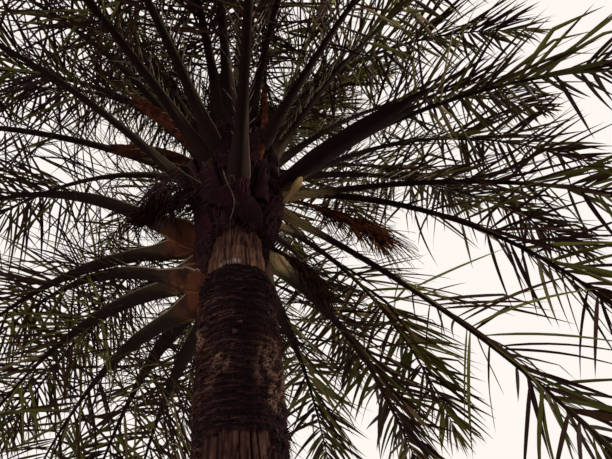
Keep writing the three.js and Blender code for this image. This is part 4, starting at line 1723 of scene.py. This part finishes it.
def spathe_finish(name, dark, bright):
    spathe = Finish(name)
    streaks = spathe.grain((22, 22, 22), detail=4.0)
    specks = spathe.grain((110, 110, 110))
    along, red, rim = spathe.attributes("distance", "red", "rim")
    glow = red * (streaks.between(0.4, 0.62) * 0.8 + along * 0.3) + rim * red * 0.5
    colour = spathe.mix(dark, bright, glow)
    colour = spathe.mix(colour, SPECK_COLOUR, specks.between(0.58, 0.74) * 0.6)
    return spathe.done(colour, 0.6 + 0.3 * specks, streaks + specks * 0.5, 0.002, specular=0.06)


def build_spathes(settings):
    outside = spathe_finish("spathe_outside", settings.spathe_colour, settings.spathe_red_colour)
    lining = spathe_finish("spathe_lining", settings.spathe_colour, settings.lining_colour)
    faces = wall_faces(SPATHE_RINGS, SPATHE_SPOTS)
    sheet = SPATHE_RINGS * SPATHE_SPOTS
    slots = [int(min(face) >= sheet) for face in faces]
    for index, (name, row) in enumerate(SPATHES.items()):
        sheets, part, spot = spathe_points(row, index + 2.5)
        heap = Heap()
        marks = {"distance": both(part), "rim": both(np.abs(spot) ** 6), "red": SPATHE_REDNESS[name]}
        heap.add(sheets, faces, slots, **marks)
        settle(heap.piece(f"{name}_shell", [outside, lining]), "spathe", name)


# The first and last share of a stalk's length that its stem takes, and its rings
STALK_SPAN = (-0.05, 0.94, 24)
STALK_SIDES = 10
STALK_OUTLINE = ((0, 0.25, 0.8, 1), (1, 0.8, 0.45, 0.15))


def stalk_rings(row, fractions):
    """A flattened stem that narrows to its end."""
    turn = ring_turns(STALK_SIDES)
    half = row[5] * 0.3 * np.interp(fractions, *STALK_OUTLINE)[:, None]
    return sections(dry_path(row, fractions), np.cos(turn) * half, np.sin(turn) * half * 0.38)


def flower_strands(row, count, draws):
    """Fine branches that fan out from the end of a stalk and hang."""
    length, half_width = row[4:]
    strands = Strands()
    for _ in range(count):
        path = dry_path(row, (0.0, draws.uniform(0.3, 0.84)))
        along, across, above = path.along[1], path.across[1], path.above[1]
        heading = unit(along + across * draws.normal(0, 0.42) + above * draws.normal(0, 0.3))
        reach = min(0.36, length * 0.48) * draws.uniform(0.5, 1.1)
        start = path.point[1] + across * draws.normal(0, half_width * 0.15)
        strands.add(falling_line(start, heading, reach, 9, draws.uniform(0.3, 1.3)), FLOWER_TAPER)
    return strands


def stalk_finish(name, dark, bright):
    stalk = Finish(name)
    mottle = stalk.grain((18, 18, 18))
    specks = stalk.grain((90, 90, 90))
    colour = stalk.mix(dark, bright, mottle.between(0.42, 0.58))
    colour = stalk.mix(colour, dark, specks.between(0.56, 0.7) * 0.8)
    return stalk.done(colour, 0.7, specks, 0.0015, specular=0.08)


def build_flower_stalks(settings):
    dark = settings.stalk_dark_colour
    red = stalk_finish("flower_stalk", dark, settings.stalk_colour)
    old = stalk_finish("flower_stalk_old", dark, settings.stalk_old_colour)
    draws = draws_for("flowers")
    for name, row in FLOWER_STALKS.items():
        material = old if name.startswith("flower_bunch") else red
        rings = stalk_rings(row, np.linspace(*STALK_SPAN))
        heap = Heap()
        heap.add(rings, ring_faces(len(rings), rings.shape[1]))
        settle(heap.piece(f"{name}_stem", [material]), "flower_stalk", name)
        strands = flower_strands(row, settings.strand_count, draws)
        piece = strands.grow(f"{name}_strands", material, wobble=0.035, wobble_size=14.0)
        settle(piece, "flower_stalk", name)


# Stage


def eye_matrix():
    """The eye's place and directions: right, up, and back."""
    pitch, yaw, roll = (math.radians(angle) for angle in (EYE_PITCH, EYE_YAW, EYE_ROLL))
    forward = np.array([math.sin(yaw), math.cos(yaw), 0.0]) * math.cos(pitch) + UP * math.sin(pitch)
    level = np.array([math.cos(yaw), -math.sin(yaw), 0.0])
    upright = np.cross(level, forward)
    right = level * math.cos(roll) + upright * math.sin(roll)
    top = upright * math.cos(roll) - level * math.sin(roll)
    columns = [right, top, -forward, np.array(EYE)]
    rows = [[float(column[axis]) for column in columns] for axis in range(3)]
    return Matrix(rows + [[0, 0, 0, 1]])


def build_camera():
    lens = bpy.data.cameras.new("eye")
    lens.sensor_fit = "HORIZONTAL"
    lens.sensor_width = SENSOR_WIDTH
    lens.lens = FOCAL_PIXELS / PICTURE_WIDTH * SENSOR_WIDTH
    lens.clip_start, lens.clip_end = CLIP
    eye = link_object("eye", lens)
    eye.matrix_world = eye_matrix()
    bpy.context.scene.camera = eye


def build_world(settings):
    """A pale even sky, which lights the palm less than it shows."""
    world = bpy.data.worlds.new("pale_sky")
    world.use_nodes = True
    world.node_tree.nodes.clear()
    sky = Graph(world.node_tree)
    seen = sky.node("ShaderNodeLightPath", output="Is Camera Ray")
    colour = (*settings.sky_colour, 1.0)
    light = (*settings.light_colour, 1.0)
    shown = sky.node("ShaderNodeBackground", {}, {"Color": colour, "Strength": 1.0})
    lamp = sky.node("ShaderNodeBackground", {}, {"Color": light, "Strength": settings.sky_strength})
    mixed = sky.node("ShaderNodeMixShader", {}, {0: seen, 1: lamp, 2: shown})
    sky.node("ShaderNodeOutputWorld", {}, {"Surface": mixed})
    bpy.context.scene.world = world


# Each lamp's name, azimuth, height, share of the sun's strength, width and colour
SUNS = (
    ("back_sun", 75, 52, 1.0, 10, (1.0, 0.93, 0.82)),
    ("side_sun", 5, 12, 0.9, 12, (1.0, 0.86, 0.78)),
    ("left_sun", 215, 12, 0.25, 14, (1.0, 0.85, 0.78)),
)
FLOOR_REACH = 150.0


def build_sun(name, azimuth, height, strength, width, colour):
    lamp = bpy.data.lights.new(name, "SUN")
    lamp.energy = strength
    lamp.angle = math.radians(width)
    lamp.color = colour
    sun = link_object(name, lamp)
    sun.rotation_euler = (math.radians(90 - height), 0, math.radians(azimuth + 90))


def build_floor(settings):
    floor_finish = Finish("pale_floor")
    mottle = floor_finish.grain((0.6, 0.6, 0.6))
    low = tuple(0.97 * part for part in settings.floor_colour)
    colour = floor_finish.mix(low, settings.floor_colour, mottle)
    material = floor_finish.done(colour, 0.9, specular=0.1)
    corners = FLOOR_REACH * np.array([[-1, -1, 0], [1, -1, 0], [1, 1, 0], [-1, 1, 0]])
    floor = make_piece("floor", corners, [[0, 1, 2, 3]], [material])
    floor.visible_diffuse = False


# Settings


def colour_property(name, description, default):
    return bpy.props.FloatVectorProperty(
        name=name, description=description, default=default, subtype="COLOR", min=0, max=1
    )


def length_property(name, description, default):
    return bpy.props.FloatProperty(
        name=name, description=description, default=default, min=0, subtype="DISTANCE", unit="LENGTH"
    )


def count_property(name, description, default):
    return bpy.props.IntProperty(name=name, description=description, default=default, min=1)


def share_property(name, description, default):
    return bpy.props.FloatProperty(
        name=name, description=description, default=default, min=0, subtype="FACTOR"
    )


class PalmTrunkSettings(bpy.types.PropertyGroup):
    layer_pitch: length_property("Layer pitch", "Height of one ring of worn leaf bases", 0.042)
    layer_depth: length_property("Layer depth", "How far the worn layers stand out", 0.024)
    crack_depth: length_property("Crack depth", "Depth of the cracks in bare wood", 0.011)
    bark_sides: count_property("Bark sides", "Points round each ring of bark", 264)
    flake_count: count_property("Flakes", "Ragged flakes on the upper band", 760)
    fibre_count: count_property("Fibres", "Loose fibres on the upper band", 900)
    dark_colour: colour_property("Dark fibre", "Shaded fibre layers", (0.016, 0.0045, 0.009))
    brown_colour: colour_property("Brown fibre", "Weathered fibre layers", (0.12, 0.04, 0.036))
    gap_shade_colour: colour_property("Gaps", "Deep gaps between the layers", (0.005, 0.002, 0.004))
    pale_and_highlight_colour: colour_property("Pale fibre", "Worn lips of the fibre layers", (0.5, 0.31, 0.22))
    neck_wood_and_light_colour: colour_property("Neck", "Lightest bare wood of the neck", (0.6, 0.33, 0.2))
    frayed_colour: colour_property("Frayed line", "Pale fibres at the neck's foot", (0.8, 0.62, 0.5))
    wood_colour: colour_property("Bare wood", "Bare wood", (0.2, 0.095, 0.07))
    wood_dark_colour: colour_property("Dark wood", "Dark streaks of bare wood", (0.06, 0.026, 0.024))


class PalmSheathSettings(bpy.types.PropertyGroup):
    keel_depth: length_property("Keel depth", "How far each leaf base stands out", 0.05)
    sleeve_sides: count_property("Sleeve sides", "Points round the sleeve", 260)
    sleeve_rings: count_property("Sleeve rings", "Rings of points up the sleeve", 260)
    thread_count: count_property("Threads", "Loose threads on the sleeve", 700)
    clump_count: count_property("Clump", "Threads of the dark clump at the left", 420)
    dead_base_count: count_property("Dead bases", "Dead leaf bases between the stalks", 30)
    heart_base_count: count_property("Heart bases", "Dead bases in the crown's heart", 22)
    sheath_colour: colour_property("Sheath", "Dark sheath fibre", (0.016, 0.004, 0.0095))
    sheath_brown_colour: colour_property("Brown sheath", "Weathered sheath", (0.082, 0.026, 0.034))
    sheath_shade_colour: colour_property("Crease", "Shade between sheaths", (0.008, 0.005, 0.006))
    thread_colour: colour_property("Thread", "Pale loose threads", (0.36, 0.27, 0.2))


class PalmFrondSettings(bpy.types.PropertyGroup):
    leaflet_pairs: count_property("Leaflet pairs", "Leaflets on each side of a frond", 90)
    leaflet_length: length_property("Leaflet length", "Length of the longest leaflets", 0.78)
    leaflet_width: length_property("Leaflet width", "Width of the widest leaflets", 0.035)
    missing_share: share_property("Missing share", "Share of leaflets that have gone", 0.05)
    broken_share: share_property("Broken share", "Share of leaflets that are bent down", 0.16)
    blade_start: length_property("Blade start", "Length of the stalk below the leaflets", 1.05)
    spine_length: length_property("Spine length", "Length of the longest spines", 0.24)
    spine_count: count_property("Spines", "Spines on each edge of a stalk", 15)
    spear_count: count_property("Spears", "Young leaves that are still shut", 6)
    petiole_colour: colour_property("Stalk", "Dark underside of a stalk", (0.017, 0.01, 0.009))
    petiole_light_colour: colour_property("Light stalk", "Lit side of a stalk", (0.17, 0.135, 0.08))
    rib_colour: colour_property("Rib", "Dark rib between the leaflets", (0.018, 0.011, 0.011))
    edge_colour: colour_property("Edge", "Pale edges of a stalk", (0.62, 0.52, 0.38))
    fresh_colour: colour_property("Fresh base", "Yellow-green short bases", (0.66, 0.55, 0.24))
    base_colour: colour_property("Base", "Orange-brown base of a stalk", (0.72, 0.29, 0.1))
    tan_colour: colour_property("Tan base", "Outer part of an old base", (0.62, 0.42, 0.17))
    base_shade_colour: colour_property("Shaded base", "Dark inner bases", (0.035, 0.02, 0.018))
    base_dark_colour: colour_property("Dark base", "Dark parts of a base", (0.17, 0.06, 0.032))
    shade_colour: colour_property("Shaded leaflet", "Darkest leaflets", (0.035, 0.0125, 0.0105))
    olive_colour: colour_property("Olive leaflet", "Dark olive leaflets", (0.085, 0.041, 0.022))
    green_colour: colour_property("Green leaflet", "Green leaflets", (0.15, 0.165, 0.034))
    light_colour: colour_property("Light leaflet", "Light green leaflets", (0.34, 0.355, 0.085))
    yellow_colour: colour_property("Yellow leaflet", "Yellowish leaflets", (0.52, 0.43, 0.2))
    dry_colour: colour_property("Dry leaflet", "Brown leaflets and tips", (0.14, 0.078, 0.048))


class PalmDrySettings(bpy.types.PropertyGroup):
    strand_count: count_property("Strands", "Fine branches on each flower stalk", 260)
    spathe_colour: colour_property("Spathe", "Dark outside of a spathe", (0.014, 0.007, 0.008))
    spathe_red_colour: colour_property("Red spathe", "Red-brown of a spathe", (0.42, 0.125, 0.065))
    lining_colour: colour_property("Lining", "Inside of a spathe", (0.3, 0.12, 0.06))
    stalk_colour: colour_property("Flower stalk", "Orange-brown stalks", (0.34, 0.115, 0.05))
    stalk_old_colour: colour_property("Old stalk", "Old grey-brown bunches", (0.07, 0.033, 0.022))
    stalk_dark_colour: colour_property("Dark stalk", "Dark stalks", (0.026, 0.011, 0.009))


class PalmStageSettings(bpy.types.PropertyGroup):
    sky_colour: colour_property("Sky", "Pale background", (0.99, 0.93, 0.89))
    floor_colour: colour_property("Floor", "Pale floor", (0.8, 0.78, 0.74))
    light_colour: colour_property("Light", "Warm tint of the sky's light", (1.0, 0.82, 0.81))
    sky_strength: share_property("Sky light", "Light that the sky gives", 0.12)
    sun_strength: share_property("Sun light", "Light from behind the palm", 2.6)


class PalmSettings(bpy.types.PropertyGroup):
    trunk: bpy.props.PointerProperty(type=PalmTrunkSettings)
    sheath: bpy.props.PointerProperty(type=PalmSheathSettings)
    frond: bpy.props.PointerProperty(type=PalmFrondSettings)
    dry: bpy.props.PointerProperty(type=PalmDrySettings)
    stage: bpy.props.PointerProperty(type=PalmStageSettings)


# Operators and panel


class PALM_OT_stage(bpy.types.Operator):
    """Makes the camera, the pale sky, the soft lamps and the floor"""

    bl_idname = "palm.stage"
    bl_label = "Stage"

    def execute(self, context):
        settings = context.scene.date_palm.stage
        context.scene.view_settings.view_transform = "Standard"
        build_camera()
        build_world(settings)
        build_floor(settings)
        for name, azimuth, height, share, width, colour in SUNS:
            build_sun(name, azimuth, height, settings.sun_strength * share, width, colour)
        return {"FINISHED"}


class PALM_OT_trunk(bpy.types.Operator):
    """Makes the trunk's bark, with its flakes and loose fibres"""

    bl_idname = "palm.trunk"
    bl_label = "Trunk"

    def execute(self, context):
        settings = context.scene.date_palm.trunk
        build_bark(settings)
        build_bark_flakes(settings)
        build_bark_fibres(settings)
        return {"FINISHED"}


class PALM_OT_sheaths(bpy.types.Operator):
    """Makes the sleeve of leaf sheaths, with its dead bases and loose threads"""

    bl_idname = "palm.sheaths"
    bl_label = "Leaf sheaths"

    def execute(self, context):
        settings = context.scene.date_palm.sheath
        build_sleeve(settings)
        build_dead_bases(settings)
        build_front_sheet()
        build_sheath_threads(settings)
        return {"FINISHED"}


class PALM_OT_ribs(bpy.types.Operator):
    """Makes the ribs of the fronds, with the spines on their stalks"""

    bl_idname = "palm.ribs"
    bl_label = "Frond ribs"

    def execute(self, context):
        settings = context.scene.date_palm.frond
        build_ribs(settings)
        build_spines(settings)
        return {"FINISHED"}


class PALM_OT_leaflets(bpy.types.Operator):
    """Makes the leaflets of the fronds"""

    bl_idname = "palm.leaflets"
    bl_label = "Leaflets"

    def execute(self, context):
        build_leaflets(context.scene.date_palm.frond)
        return {"FINISHED"}


class PALM_OT_spears(bpy.types.Operator):
    """Makes the youngest leaves, still shut"""

    bl_idname = "palm.spears"
    bl_label = "Spear leaves"

    def execute(self, context):
        build_spears(context.scene.date_palm.frond)
        return {"FINISHED"}


class PALM_OT_spathes(bpy.types.Operator):
    """Makes the dry spathes"""

    bl_idname = "palm.spathes"
    bl_label = "Spathes"

    def execute(self, context):
        build_spathes(context.scene.date_palm.dry)
        return {"FINISHED"}


class PALM_OT_flower_stalks(bpy.types.Operator):
    """Makes the dry branched flower stalks"""

    bl_idname = "palm.flower_stalks"
    bl_label = "Flower stalks"

    def execute(self, context):
        build_flower_stalks(context.scene.date_palm.dry)
        return {"FINISHED"}


OPERATORS = (
    PALM_OT_stage,
    PALM_OT_trunk,
    PALM_OT_sheaths,
    PALM_OT_ribs,
    PALM_OT_leaflets,
    PALM_OT_spears,
    PALM_OT_spathes,
    PALM_OT_flower_stalks,
)


class PALM_PT_panel(bpy.types.Panel):
    """Lists the palm's pieces"""

    bl_label = "Date palm"
    bl_idname = "PALM_PT_panel"
    bl_space_type = "VIEW_3D"
    bl_region_type = "UI"
    bl_category = "Date palm"

    def draw(self, context):
        for operator in OPERATORS:
            self.layout.operator(operator.bl_idname)


CLASSES = (
    PalmTrunkSettings,
    PalmSheathSettings,
    PalmFrondSettings,
    PalmDrySettings,
    PalmStageSettings,
    PalmSettings,
    *OPERATORS,
    PALM_PT_panel,
)


def register():
    for made in CLASSES:
        bpy.utils.register_class(made)
    bpy.types.Scene.date_palm = bpy.props.PointerProperty(type=PalmSettings)


def unregister():
    del bpy.types.Scene.date_palm
    for made in reversed(CLASSES):
        bpy.utils.unregister_class(made)


def main():
    register()
    bpy.ops.palm.stage()
    bpy.ops.palm.trunk()
    bpy.ops.palm.sheaths()
    bpy.ops.palm.ribs()
    bpy.ops.palm.leaflets()
    bpy.ops.palm.spears()
    bpy.ops.palm.spathes()
    bpy.ops.palm.flower_stalks()
    bpy.context.view_layer.update()


if __name__ == "__main__":
    main()
